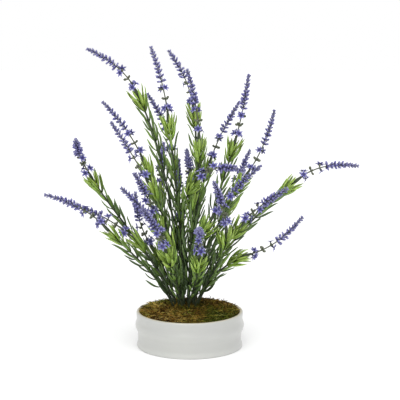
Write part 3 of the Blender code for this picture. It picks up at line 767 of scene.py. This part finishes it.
def lay_strand(bm, shape, x, y, length, lift, rng):
    """Lay one strand on the mat at a place."""
    turn = rng.uniform(0.0, math.tau)
    low = moss_top(x, y)
    slope = (moss_top(x + SLOPE_STEP * math.cos(turn), y + SLOPE_STEP * math.sin(turn)) - low) / SLOPE_STEP
    pitch = math.atan(slope) * SLOPE_FOLLOWED + lift
    place = Matrix.Translation((x, y, low + STRAND_FLOAT))
    place = place @ Matrix.Rotation(turn - math.pi / 2, 4, "Z") @ Matrix.Rotation(pitch, 4, "X")
    tint = dye(x, y) + rng.gauss(0.0, DYE_SCATTER)
    # Painted light: lower in the hollows and in the stems' painted shadow, higher on the tufts and on the
    # pale side.
    height = (LUMP_LIGHT * lumps(x, y) + rng.uniform(*LIGHT_SCATTER)) * pale_side_and_stem_shadow(x, y)
    height = min(MOST_LIT_STRAND, max(0.0, height))
    add_copy(bm, shape, place @ Matrix.Scale(length, 4), tint=tint, height=height)


def build_strands(name, count, lengths, width, rows, sway):
    """Thousands of strands over the mat, and a few whiskers that stand up from it."""
    rng = random.Random(MOSS_SEED + rows)
    slimness = width / (sum(lengths) / 2.0)
    shapes = [strand_shape(f"strand_{index}", slimness, rows, sway, rng) for index in range(STRAND_SHAPES)]
    bm = bmesh.new()
    for index in range(count):
        length = rng.uniform(*lengths)
        radius = (MOSS_RADIUS - EDGE_MARGIN) * math.sqrt(rng.random())
        angle = rng.uniform(0.0, math.tau)
        lift = rng.uniform(*(STRAND_LIFTS if index >= WHISKERS else WHISKER_LIFTS))
        room = MOSS_RADIUS - radius
        lay_strand(bm, shapes[index % len(shapes)], radius * math.cos(angle), radius * math.sin(angle),
                   min(length, EDGE_REACH + room), lift, rng)
    return finish_piece(name, to_mesh(name, bm), MOSS, "moss_fibre", "moss")


for row in STRANDS:
    piece = build_strands(*row)
    print(f"{piece.name}: {triangles(piece.data)} triangles")

# %% [markdown]
# ## Where every stem stands
#
# Each stem starts in the foam, rises almost straight up, and swings out to the place where its socket
# ends. There its wand takes over and bows on to the tip. The table gives those two places for each stem,
# how far its wand bows over, and how far it swings aside. A stem stands on the side that it leans to, and
# the feet are pushed apart until no two stems touch.

# %% The stems and their feet
CLUSTER = Vector((-0.008, 0.012))
CLUSTER_HALF = (0.0155, 0.0190)
STEM_SPACING = 0.0055
WIDEST_LEAN = 62.0
SPREAD_ROUNDS = 300
STEM_TABLE = (
    # where the socket ends and where the wand's tip is, in mm; how far the wand bows over and swings aside
    (-100, 20, 474, -185, 10, 545, 0.9, 0.0),
    (-40, 0, 434, -70, 5, 549, 1.0, 0.0),
    (-33, 65, 354, -80, 95, 459, 2.2, 0.0),
    (5, 65, 444, -40, 90, 539, 1.8, 0.0),
    (17, 10, 394, -5, 15, 509, 2.6, 0.0),
    (84, -10, 389, 105, -20, 502, -0.3, 0.0),
    (40, 75, 339, 95, 100, 444, 0.4, 0.0),
    (110, 20, 324, 155, 30, 434, -0.4, 0.0),
    (80, 70, 269, 115, 120, 349, 0.2, 0.0),
    (20, -45, 324, 95, -115, 339, 0.6, 0.0),
    (45, -70, 259, 125, -100, 349, 0.2, 0.0),
    (202, -20, 318, 305, -10, 335, 0.6, 0.0),
    (100, -70, 249, 170, -110, 309, 0.3, 0.0),
    (110, -60, 184, 200, -70, 254, -0.4, 0.0),
    (63, -105, 246, 40, -160, 329, 1.0, 0.0),
    (17, -112, 199, 15, -205, 255, 1.5, 0.0),
    (-90, 20, 354, -160, 30, 449, 0.5, 0.0),
    (-80, -30, 319, -140, -40, 419, 0.1, 0.0),
    (-183, -20, 327, -196, -100, 394, 1.2, 0.8),
    (-155, -65, 239, -255, -80, 294, 0.5, 0.0),
    (-115, -15, 214, -225, -15, 269, 0.4, 0.0),
    (-65, -55, 259, -95, -130, 339, 0.3, 0.0),
    (-50, -80, 224, -120, -95, 309, 0.3, 0.0),
    (-73, 0, 192, -96, -45, 293, 0.0, 0.4),
    (-45, -115, 209, -80, -185, 289, 0.3, 0.0),
    (-18, 22, 234, -20, 30, 344, 0.2, 0.0),
    (2, -2, 299, -6, 80, 354, 0.5, 0.0),
    (-55, 80, 289, -50, 155, 359, 0.3, 0.0),
)


def metres(numbers):
    """A place that is given in millimetres."""
    return tuple(number / 1000.0 for number in numbers)


def spread_feet(collars):
    """Where the stems stand: on the side that each leans to, pushed apart to an even spacing."""
    feet = []
    for collar in collars:
        away = Vector((collar[0] - CLUSTER.x, collar[1] - CLUSTER.y))
        lean = math.atan2(away.length, collar[2] - RIM_HEIGHT)
        heading = away.normalized() * min(1.0, math.sqrt(lean / math.radians(WIDEST_LEAN)))
        feet.append(Vector((heading.x * CLUSTER_HALF[0], heading.y * CLUSTER_HALF[1])))
    for _ in range(SPREAD_ROUNDS):
        for index, foot in enumerate(feet):
            for other in feet[:index]:
                apart = foot - other
                if apart.length < STEM_SPACING:
                    push = apart.normalized() * (STEM_SPACING - apart.length) / 2
                    foot += push
                    other -= push
        for foot in feet:
            out = math.hypot(foot.x / CLUSTER_HALF[0], foot.y / CLUSTER_HALF[1])
            if out > 1.0:
                foot /= out
    return feet


STEMS = [(metres(row[:3]), metres(row[3:6]), *row[6:]) for row in STEM_TABLE]
feet = spread_feet([stem[0] for stem in STEMS])
print("Feet:", len(feet), "of which the first stands at", [round(value, 4) for value in feet[0]])

# %% [markdown]
# ## The curve of every stem
#
# A bent wire has no corners, so each stem and each wand follows one smooth curve. What grows on it is
# modelled straight, along Z, and a Route then bends the whole to the curve. A wand leaves its socket in
# the direction in which the stem arrives, so the two read as one line.

# %% The routes of stems and wands
STEM_FOOT = 0.032
FAN_OUT = 4.0
FOOT_HANDLE = 0.30
COLLAR_HANDLE = 0.33
WAND_HANDLE = 0.45
PEG_LENGTH = 0.0046
UP = Vector((0.0, 0.0, 1.0))


def bezier(points, share):
    """A point on the curve that these control points draw."""
    points = [Vector(point) for point in points]
    while len(points) > 1:
        points = [a.lerp(b, share) for a, b in zip(points, points[1:])]
    return points[0]


class Route:
    """A smooth path: what is modelled straight along Z is bent to it."""

    def __init__(self, controls, side, samples=96):
        points = [bezier(controls, index / samples) for index in range(samples + 1)]
        self.points = np.array([tuple(point) for point in points])
        self.side = np.array(side) / np.linalg.norm(side)
        steps = np.diff(self.points, axis=0)
        lengths = np.linalg.norm(steps, axis=1)
        self.along = np.concatenate(([0.0], np.cumsum(lengths)))
        self.middles = (self.along[1:] + self.along[:-1]) / 2
        self.headings = steps / lengths[:, None]
        self.length = float(self.along[-1])

    def bend(self, places):
        """Move straight places, rows of x, y and distance along Z, to the path."""
        distance = places[:, 2]
        held = np.clip(distance, 0.0, self.length)
        centre, ahead = (np.stack([np.interp(held, at, line[:, axis]) for axis in range(3)], axis=1)
                         for at, line in ((self.along, self.points), (self.middles, self.headings)))
        ahead /= np.linalg.norm(ahead, axis=1)[:, None]
        centre += ahead * (distance - held)[:, None]
        across = self.side - ahead * (ahead @ self.side)[:, None]
        across /= np.linalg.norm(across, axis=1)[:, None]
        return centre + across * places[:, 0:1] + np.cross(ahead, across) * places[:, 1:2]


def stem_and_wand(foot, collar, tip, bow, swing):
    """The route of a stem, nearly upright from the foam to its socket, and that of its wand, to the tip."""
    start = Vector((CLUSTER.x + foot.x, CLUSTER.y + foot.y, STEM_FOOT))
    end = Vector(collar)
    chord = (Vector(tip) - end).normalized()
    heading = (chord + UP * bow + chord.cross(UP).normalized() * swing).normalized()
    rise = Vector((foot.x * FAN_OUT, foot.y * FAN_OUT, 1.0)).normalized()
    reach = (end - start).length
    controls = (start, start + rise * FOOT_HANDLE * reach, end - heading * COLLAR_HANDLE * reach, end)
    stem = Route(controls, (end - start).cross(UP))
    peg = end - heading * PEG_LENGTH
    reach = (Vector(tip) - peg).length
    return stem, Route((peg, peg + heading * WAND_HANDLE * reach, tip), stem.side)


def bent(mesh, route):
    """Bend a mesh that was modelled along Z to its route."""
    places = np.zeros(len(mesh.vertices) * 3)
    mesh.vertices.foreach_get("co", places)
    mesh.vertices.foreach_set("co", route.bend(places.reshape(-1, 3)).ravel())
    mesh.update()
    return mesh


def dress(node, number, route, *parts):
    """Bend a node's parts to its route, show each as a piece, and count their triangles."""
    pieces = [finish_piece(f"{name}_{number:02d}", bent(mesh, route), material, slot, f"{node}_{number:02d}")
              for name, mesh, material, slot in parts]
    return triangles(*(piece.data for piece in pieces))


routes = [stem_and_wand(foot, *stem) for foot, stem in zip(feet, STEMS)]
print("Longest stem:", round(max(stem.length for stem, wand in routes), 3), "m")

# %% [markdown]
# ## Leaves
#
# A lavender leaf is a narrow blade: folded along its midrib, arched, a little twisted, and blunt at the
# tip. One flat grid gets its thickness first and is then bent along a line. Eight bends for the long dark
# leaves and six for the fresh ones in the tufts are enough, because each copy has its own size and turn.

# %% Shape the leaves
LEAF_SHAPES = (
    # set out at, settle to, curl by, twist by, in degrees
    (40.0, 6.0, 14.0, 55.0),
    (36.0, 9.0, -16.0, -50.0),
    (32.0, 3.0, 34.0, 75.0),
    (48.0, 8.0, 8.0, -70.0),
    (30.0, 5.0, 46.0, 25.0),
    (26.0, 4.0, 20.0, -30.0),
    (36.0, 7.0, 30.0, -85.0),
    (54.0, 4.0, 18.0, 90.0),
)
TUFT_SHAPES = (
    (42.0, 15.0, 8.0, 35.0),
    (34.0, 20.0, -10.0, -40.0),
    (47.0, 12.0, 15.0, 55.0),
    (31.0, 17.0, 4.0, -20.0),
    (26.0, 8.0, 18.0, 60.0),
    (40.0, 23.0, -6.0, 15.0),
)
LEAF_ROWS = 6
LEAF_HALF_WIDTH = 0.058
LEAF_THICKNESS = 0.034
LEAF_FOLD = 0.42
TUFT_FOLD = 0.34
LEAF_TAPER = 5.0
BEND_SAMPLES = 24
ROOT_WIDTH = 0.45
ROOT_WIDENING = 1.6
TIP_NARROWING = 0.97
ROOT_TWIST = 0.35


def bend_line(lean, settled, curl):
    """Points of a line of length 1 in the XZ plane: it sets out at lean, settles, and curls at its end."""
    line = [Vector((0.0, 0.0))]
    angles = []
    for index in range(BEND_SAMPLES):
        share = (index + 0.5) / BEND_SAMPLES
        angle = math.radians(settled + (lean - settled) * (1.0 - share) ** 2 + curl * share ** 3)
        angles.append(angle)
        line.append(line[-1] + Vector((math.sin(angle), math.cos(angle))) / BEND_SAMPLES)
    return line, angles


def blade(name, width, thickness, rows, bend, fold, twist=0.0, taper=3.5):
    """A pointed blade of length 1 along Z, bent in the XZ plane, folded on its midrib and twisted."""
    line, angles = bend_line(*bend)
    bm = bmesh.new()
    bmesh.ops.create_grid(bm, x_segments=2, y_segments=rows, size=0.5)
    bmesh.ops.solidify(bm, geom=bm.faces[:], thickness=thickness)
    bmesh.ops.translate(bm, verts=bm.verts, vec=(0.0, 0.5, 0.0))
    paint(bm, along=lambda co: co.y, across=lambda co: abs(co.x) * 2.0, age=0.0, shade=0.0)
    for vert in bm.verts:
        side, share, depth = vert.co
        half = width * min(1.0, ROOT_WIDTH + ROOT_WIDENING * share) * (1.0 - TIP_NARROWING * share ** taper)
        place = min(share, 0.9999) * BEND_SAMPLES
        index = int(place)
        out, rise = line[index].lerp(line[index + 1], place - index)
        angle = angles[index]
        turn = math.radians(twist) * between((ROOT_TWIST, 1.0), share)
        face = Vector((-math.cos(angle), 0.0, math.sin(angle)))
        edge = Vector((0.0, math.cos(turn), 0.0)) + face * math.sin(turn)
        lift = face * math.cos(turn) - Vector((0.0, math.sin(turn), 0.0))
        height = depth - abs(side) * 2.0 * half * fold
        vert.co = Vector((out, 0.0, rise)) + edge * side * 2.0 * half + lift * height
    return keep_shape(name, bm)


def leaf_set(name, table, fold):
    """One leaf for each row of a table of bends."""
    size = (LEAF_HALF_WIDTH, LEAF_THICKNESS, LEAF_ROWS)
    return [blade(f"{name}_{index}", *size, bend, fold, twist, LEAF_TAPER)
            for index, (*bend, twist) in enumerate(table)]


leaf_shapes = leaf_set("leaf", LEAF_SHAPES, LEAF_FOLD)
tuft_shapes = leaf_set("tuft_leaf", TUFT_SHAPES, TUFT_FOLD)
print("Leaf shapes:", len(leaf_shapes + tuft_shapes), "of", triangles(leaf_shapes[0]), "triangles")

# %% [markdown]
# ## Stems
#
# A stem is a wire in green plastic. The leaves sit in whorls on short sleeves that were slid over it, and
# it ends in a dark ferrule, the socket of the wand. Wire, sleeves and ferrule are round and share one axis,
# so they are turned in one outline: it swells at each sleeve and dips into the socket at its end.

# %% Outline the stems
STEM_RADII = (0.0019, 0.0016)
STEM_SIDES = 8
STEM_AGE = 0.90
STATION_STEP = 0.007
SLEEVE_LENGTH = 0.0045
SLEEVE_GROWTH = 0.0006
SLEEVE_TAPER = 0.4
FERRULE_LENGTH = 0.018
FERRULE_OUTLINE = (
    # share of the ferrule's length, radius
    (0.00, 0.0017), (0.06, 0.0028), (0.30, 0.0031), (0.42, 0.0029), (0.55, 0.0029), (0.80, 0.0023),
    (0.93, 0.0021), (0.96, 0.0026), (1.00, 0.0026),
)
SOCKET_RADIUS = 0.0015
SOCKET_DEPTH = 0.005


def stem_outline(length, heights):
    """The outline of the wire, its sleeves, the ferrule and its socket."""
    top = length - FERRULE_LENGTH
    stations = {0.0: STEM_RADII[0]}
    for index in range(1, int(top / STATION_STEP)):
        height = index * STATION_STEP
        if all(abs(height - whorl) > SLEEVE_LENGTH for whorl in heights):
            stations[height] = between(STEM_RADII, height / length)
    for whorl in heights:
        radius = between(STEM_RADII, whorl / length)
        stations[whorl - SLEEVE_LENGTH / 2] = radius
        stations[whorl - SLEEVE_LENGTH / 4] = radius + SLEEVE_GROWTH
        stations[whorl + SLEEVE_LENGTH / 2] = radius + SLEEVE_GROWTH * SLEEVE_TAPER
    socket_floor = length - SOCKET_DEPTH
    outline = [(0.0, 0.0)] + [(stations[height], height) for height in sorted(stations)]
    outline += [(radius, top + share * FERRULE_LENGTH) for share, radius in FERRULE_OUTLINE]
    return outline + [(SOCKET_RADIUS, length), (SOCKET_RADIUS, socket_floor), (0.0, socket_floor)]


print("Ferrules of", FERRULE_LENGTH, "m hold the wands")

# %% [markdown]
# ## Whorls
#
# Under the ferrule stands a tuft of short, fresh leaves in three close whorls. Below it the whorls are
# further apart, and their leaves get older, darker and fewer towards the bowl. A seeded draw gives every
# leaf its shape, size, turn and shade, because an even row of copies would look stamped.

# %% Dress the stems
FIRST_WHORL = (0.007, 0.018)
TUFT_STEP = 0.010
WHORL_STEP = 0.0190
LOWEST_WHORL = 0.064
WHORL_TURN = 0.9
WHORL_TURN_SCATTER = 0.3
LEAF_LENGTHS = (0.026, 0.040)
TUFT_WHORLS = 3
TUFT_AGE_STEP = 0.06
TUFT_LEAVES = 8
TUFT_WIDTHS = (0.90, 1.30)
TOP_WHORL_SHARE = 0.80
DARK_LEAVES = (4.6, 1.4)
DARK_AGES = (0.36, 0.92)
DARK_WIDTHS = (0.95, 1.28)
AGEING_REACH = 0.12
LEAF_ROOT = STEM_RADII[1] * 0.7
LEAF_PLACE_SCATTER = 0.25
LEAF_HEIGHT_SCATTER = 0.001
LEAF_TURN_SCATTER = 0.5
LEAF_AGE_SCATTER = 0.14
FOLIAGE_SEED = 21


def scatter(rng, reach):
    """A random step to either side."""
    return rng.uniform(-reach, reach)


def whorl_heights(length, rng):
    """Where the whorls are, from the tuft downwards."""
    height = length - FERRULE_LENGTH - rng.uniform(*FIRST_WHORL)
    heights = []
    while height > LOWEST_WHORL:
        heights.append(height)
        height -= TUFT_STEP if len(heights) < TUFT_WHORLS else WHORL_STEP
    return heights


def add_whorl(bm, shapes, height, count, lengths, widths, age, spin, rng):
    """One whorl of leaves, turned by spin, each with its own shape, size and shade."""
    for angle in ring(count, spin):
        turn = angle + scatter(rng, LEAF_PLACE_SCATTER)
        length = rng.uniform(*lengths)
        place = Matrix.Translation((0.0, 0.0, height + scatter(rng, LEAF_HEIGHT_SCATTER)))
        place = place @ Matrix.Rotation(turn, 4, "Z") @ Matrix.Translation((LEAF_ROOT, 0.0, 0.0))
        place = place @ Matrix.Rotation(scatter(rng, LEAF_TURN_SCATTER), 4, "Z")
        size = Matrix.Diagonal((length, length * rng.uniform(*widths), length, 1.0))
        add_copy(bm, rng.choice(shapes), place @ size, shade=rng.random(),
                 age=min(1.0, max(0.0, age + scatter(rng, LEAF_AGE_SCATTER))))


def leafy_mesh(heights, rng):
    """All the leaves of one stem, along Z."""
    bm = bmesh.new()
    low, high = heights[-1], heights[0]
    for index, height in enumerate(heights):
        spin = index * WHORL_TURN + scatter(rng, WHORL_TURN_SCATTER)
        if index < TUFT_WHORLS:
            shorter = TOP_WHORL_SHARE if index == 0 else 1.0
            lengths = [length * shorter for length in LEAF_LENGTHS]
            age = TUFT_AGE_STEP * index
            add_whorl(bm, tuft_shapes, height, TUFT_LEAVES, lengths, TUFT_WIDTHS, age, spin, rng)
        else:
            share = (high - height) / (high - low + AGEING_REACH)
            count = round(between(DARK_LEAVES, share))
            age = between(DARK_AGES, share)
            add_whorl(bm, leaf_shapes, height, count, LEAF_LENGTHS, DARK_WIDTHS, age, spin, rng)
    return to_mesh("leaves", bm)


rng = random.Random(FOLIAGE_SEED)
foliage = 0
for number, (route, _) in enumerate(routes, 1):
    heights = whorl_heights(route.length, rng)
    leaves = leafy_mesh(heights, rng)
    stem = turned("stem", stem_outline(route.length, heights), STEM_SIDES, age=STEM_AGE)
    foliage += dress("leafy_stem", number, route, ("lavender_leaves", leaves, LEAF, "leaf_green"),
                     ("lavender_stem", stem, STALK, "leaf_green"))
print("Stems and leaves:", foliage, "triangles")

# %% [markdown]
# ## Flowers
#
# Going up a wand one meets open star flowers at the socket, a whorl of closed green buds, two more stars,
# and then the spike: whorls of small tubular florets, which lean out at the bottom and close up towards
# the tip. A floret is a turned shape with a lobed mouth. A star is a ring of petals round a short tube.

# %% Shape the florets, stars and buds
FLORET_OUTLINE = (
    # radius, height
    (0.000, 0.00), (0.070, 0.02), (0.165, 0.22), (0.205, 0.50), (0.165, 0.78), (0.200, 0.95), (0.000, 0.82),
)
BUD_OUTLINE = (
    (0.000, 0.00), (0.120, 0.00), (0.130, 0.25), (0.240, 0.42), (0.280, 0.68), (0.190, 0.90), (0.000, 1.00),
)
TUBE_OUTLINE = ((0.000, 0.00), (0.100, 0.02), (0.130, 0.40), (0.200, 0.62), (0.220, 0.72), (0.000, 0.66))
STAR_STALK_OUTLINE = ((0.000, 0.00), (0.160, 0.00), (0.200, 1.10), (0.000, 1.20))
FLORET_SIDES = 6
FLORET_LOBES = 3
LOBES_ABOVE = 0.94
NOTCH_DEPTH = 0.12
NOTCH_PULL = 0.75
STAR_PETALS = 6
PETAL_RADIUS = 0.08
PETAL_HEIGHT = 0.62


def make_floret():
    """A tubular floret of length 1 with three lobes at its mouth."""
    mesh = turned("floret", FLORET_OUTLINE, FLORET_SIDES)
    for vert in mesh.vertices:
        angle = math.atan2(vert.co.y, vert.co.x)
        if vert.co.z > LOBES_ABOVE and math.cos(angle * FLORET_LOBES) < 0.0:
            vert.co.z -= NOTCH_DEPTH
            vert.co.xy *= NOTCH_PULL
    return mesh


def make_star():
    """An open flower of radius 1: pointed petals round the mouth of a short tube."""
    bm = bmesh.new()
    petal = blade("petal", width=0.235, thickness=0.035, rows=4, bend=(60.0, 80.0, 22.0), fold=0.3)
    add_copy(bm, turned("tube", TUBE_OUTLINE, FLORET_SIDES, along=0.05), Matrix.Identity(4))
    for angle in ring(STAR_PETALS):
        place = Matrix.Translation((0.0, 0.0, PETAL_HEIGHT)) @ Matrix.Rotation(angle, 4, "Z")
        add_copy(bm, petal, place @ Matrix.Translation((PETAL_RADIUS, 0.0, 0.0)))
    return keep_shape("star", bm)


floret_shape = make_floret()
star_shape = make_star()
star_stalk = turned("star_stalk", STAR_STALK_OUTLINE, FLORET_SIDES)
bud_shape = turned("bud", BUD_OUTLINE, FLORET_SIDES)
bract_shape = blade("bract", width=0.17, thickness=0.05, rows=2, bend=(60.0, 20.0, 10.0), fold=0.4)
print("Floret:", triangles(floret_shape), "triangles. Star:", triangles(star_shape))

# %% [markdown]
# The spike takes the upper half of a wand. Its whorls draw closer towards the tip, and the florets get
# smaller, more upright and greyer. A few short ones stand between the whorls, so that the stalk shows
# through only in glimpses, and two bracts sit under each whorl.

# %% Set up the spikes
SPIKE_START = 0.455
SPIKE_WHORLS = 10
SPIKE_ENDS = (0.15, 0.30)
SPIKE_SQUEEZE = 0.30
FLORET_COUNTS = (6, 5)
FLORET_LENGTHS = (0.0098, 0.0058)
FLORET_SHRINK = 1.3
FLORET_LEANS = (68.0, 30.0)
FLORET_SIZES = (0.78, 1.12)
FLORET_TURN_SCATTER = 0.2
FLORET_HEIGHT_SCATTER = 0.0007
FLORET_LEAN_SCATTER = 16.0
TIP_AGE = 0.8
INNER_FLORETS = 3
INNER_TURN = 0.5
INNER_LEAN = 0.7
INNER_SHARE = 0.48
INNER_SIZES = (0.9, 1.1)
SPIKE_BRACTS = 2
TIP_FLORETS = 3
TIP_FLORET = 0.0044
BRACT_DROP = 0.0008
STAND_OUT = 0.0006


def standing(height, turn, lean, size, out=STAND_OUT):
    """The place of a copy that stands out of the stalk at a height, leaning from it in degrees."""
    place = Matrix.Translation((0.0, 0.0, height)) @ Matrix.Rotation(turn, 4, "Z")
    place = place @ Matrix.Translation((out, 0.0, 0.0)) @ Matrix.Rotation(math.radians(lean), 4, "Y")
    return place @ Matrix.Scale(size, 4)


def spike_heights(length):
    """Where the whorls of a spike are: they draw closer towards its tip."""
    shares = [(whorl + SPIKE_ENDS[0]) / (SPIKE_WHORLS + SPIKE_ENDS[1]) for whorl in range(SPIKE_WHORLS + 1)]
    places = [share * (1.0 + SPIKE_SQUEEZE * (1.0 - share)) for share in shares]
    return [length * between((SPIKE_START, 1.0), place) for place in places]


def add_spike(flowers, green, length, rng):
    """Whorls of florets up the spike, closing towards its tip, with a few bracts under each."""
    heights = spike_heights(length)
    for whorl, (height, above) in enumerate(zip(heights, heights[1:])):
        share = whorl / (SPIKE_WHORLS - 1)
        size = between(FLORET_LENGTHS, share ** FLORET_SHRINK)
        lean = between(FLORET_LEANS, share)
        age = TIP_AGE * share
        start = rng.uniform(0.0, math.tau)
        for angle in ring(round(between(FLORET_COUNTS, share)), start):
            turn = angle + scatter(rng, FLORET_TURN_SCATTER)
            place = standing(height + scatter(rng, FLORET_HEIGHT_SCATTER), turn,
                             lean + scatter(rng, FLORET_LEAN_SCATTER), size * rng.uniform(*FLORET_SIZES))
            add_copy(flowers, floret_shape, place, shade=rng.random(), age=age)
        # The short florets between the whorls get half the paling: painted shade close to the stalk.
        for turn in ring(INNER_FLORETS, start + INNER_TURN):
            place = standing((height + above) / 2, turn, lean * INNER_LEAN,
                             size * INNER_SHARE * rng.uniform(*INNER_SIZES))
            add_copy(flowers, floret_shape, place, shade=rng.random() * 0.5, age=age)
        for turn in ring(SPIKE_BRACTS, start):
            place = standing(height - BRACT_DROP, turn, lean=30.0, size=0.0042)
            add_copy(green, bract_shape, place, shade=rng.random(), age=0.25)
    for turn in ring(TIP_FLORETS):
        place = standing(length - TIP_FLORET, turn, lean=10.0, size=TIP_FLORET, out=0.0002)
        add_copy(flowers, floret_shape, place, shade=0.7, age=TIP_AGE)


print("A spike has", SPIKE_WHORLS, "whorls over", round(1.0 - SPIKE_START, 3), "of its wand")

# %% [markdown]
# The stars face outwards on short stalks of their own, each with a small bract, and the buds are closed
# and green. The stalk is one turned outline, a little thicker where flowers grow out of it. Everything
# green goes into one piece and everything violet into another, because they are finished differently.

# %% Build the wands
WAND_RADII = (0.00132, 0.00080)
WAND_SIDES = 7
WAND_STATIONS = 30
WAND_AGE = 0.42
KNOT_GROWTH = 0.00035
KNOT_REACH = 0.03
STALK_END = 0.003
STALK_POINT = 0.002
BASE_FLOWERS_UP = 0.0008
UPPER_FLOWERS_AT = 0.350
# Each ring of stars: how many, how far each stands over the last, and their least and greatest lean.
BASE_STARS = (4, 0.0012, 46.0, 80.0)
UPPER_STARS = (2, 0.0010, 50.0, 75.0)
UPPER_TURNS = (0.8, 1.6)
STAR_RADIUS = 0.0086
STAR_SIZES = (0.9, 1.1)
STAR_STANDOFF = 0.0018
STAR_TURN_SCATTER = 0.3
STAR_BRACT_DROP = 0.0005
BUDS_AT = 0.205
BUD_COUNTS = (4, 4, 5)
UPPER_BUDS = 2
UPPER_BUDS_TURN = 1.0
BUD_LENGTH = 0.0082
BUD_SIZES = (0.85, 1.15)
BUD_LEANS = (52.0, 80.0)
BUD_AGES = (0.15, 0.55)
BUD_TURN_SCATTER = 0.2
WAND_SEED = 8


def add_stars(flowers, green, low, turn, rng, count, step, *leans):
    """Open flowers that face outwards round the stalk, each on its little stalk over its bract."""
    for index, angle in enumerate(ring(count, turn)):
        height = low + step * index
        spin = angle + scatter(rng, STAR_TURN_SCATTER)
        lean = rng.uniform(*leans)
        place = standing(height, spin, lean, STAR_RADIUS * rng.uniform(*STAR_SIZES), out=STAR_STANDOFF)
        add_copy(flowers, star_shape, place, shade=rng.random() * 0.6, age=1.0)
        add_copy(green, star_stalk, standing(height, spin, lean, STAR_STANDOFF), shade=0.3, age=0.4)
        place = standing(height - STAR_BRACT_DROP, spin, lean=25.0, size=0.0050)
        add_copy(green, bract_shape, place, shade=0.3, age=0.5)


def add_buds(green, height, count, turn, rng):
    """Closed green buds round the stalk."""
    for angle in ring(count, turn):
        spin = angle + scatter(rng, BUD_TURN_SCATTER)
        place = standing(height, spin, rng.uniform(*BUD_LEANS), BUD_LENGTH * rng.uniform(*BUD_SIZES))
        add_copy(green, bud_shape, place, shade=rng.random(), age=rng.uniform(*BUD_AGES))


def wand_outline(length):
    """The stalk's outline, a little thicker at each place where flowers grow."""
    outline = [(0.0, 0.0)]
    for index in range(WAND_STATIONS + 1):
        share = index / WAND_STATIONS
        nearest = min(abs(share - place) for place in (BUDS_AT, UPPER_FLOWERS_AT))
        knot = KNOT_GROWTH * max(0.0, 1.0 - nearest / KNOT_REACH)
        outline.append((between(WAND_RADII, share) + knot, share * (length - STALK_END)))
    return outline + [(0.0, length - STALK_POINT)]


def wand_meshes(length, rng):
    """One wand along Z: its stalk with all that is green, and its flowers."""
    green = bmesh.new()
    flowers = bmesh.new()
    add_copy(green, turned("stalk", wand_outline(length), WAND_SIDES, age=WAND_AGE), Matrix.Identity(4))
    turn = rng.uniform(0.0, math.tau)
    low, high = PEG_LENGTH + BASE_FLOWERS_UP, UPPER_FLOWERS_AT * length
    add_stars(flowers, green, low, turn, rng, *BASE_STARS)
    add_buds(green, BUDS_AT * length, rng.choice(BUD_COUNTS), turn, rng)
    upper = turn + rng.uniform(*UPPER_TURNS)
    add_stars(flowers, green, high, upper, rng, *UPPER_STARS)
    add_buds(green, high, UPPER_BUDS, upper + UPPER_BUDS_TURN, rng)
    add_spike(flowers, green, length, rng)
    return to_mesh("stalk", green), to_mesh("flowers", flowers)


rng = random.Random(WAND_SEED)
petals = 0
for number, (_, route) in enumerate(routes, 1):
    stalk, flowers = wand_meshes(route.length, rng)
    petals += dress("flower_wand", number, route, ("wand_stalk", stalk, STALK, "leaf_green"),
                    ("wand_flowers", flowers, FLOWER, "flower_violet"))
print("Wands:", petals, "triangles")

# %% [markdown]
# ## Hand over
#
# The shapes that were only copied from are removed.

# %% Remove the shapes that were only copied from
for mesh in list(bpy.data.meshes):
    if mesh.users == 0:
        bpy.data.meshes.remove(mesh)
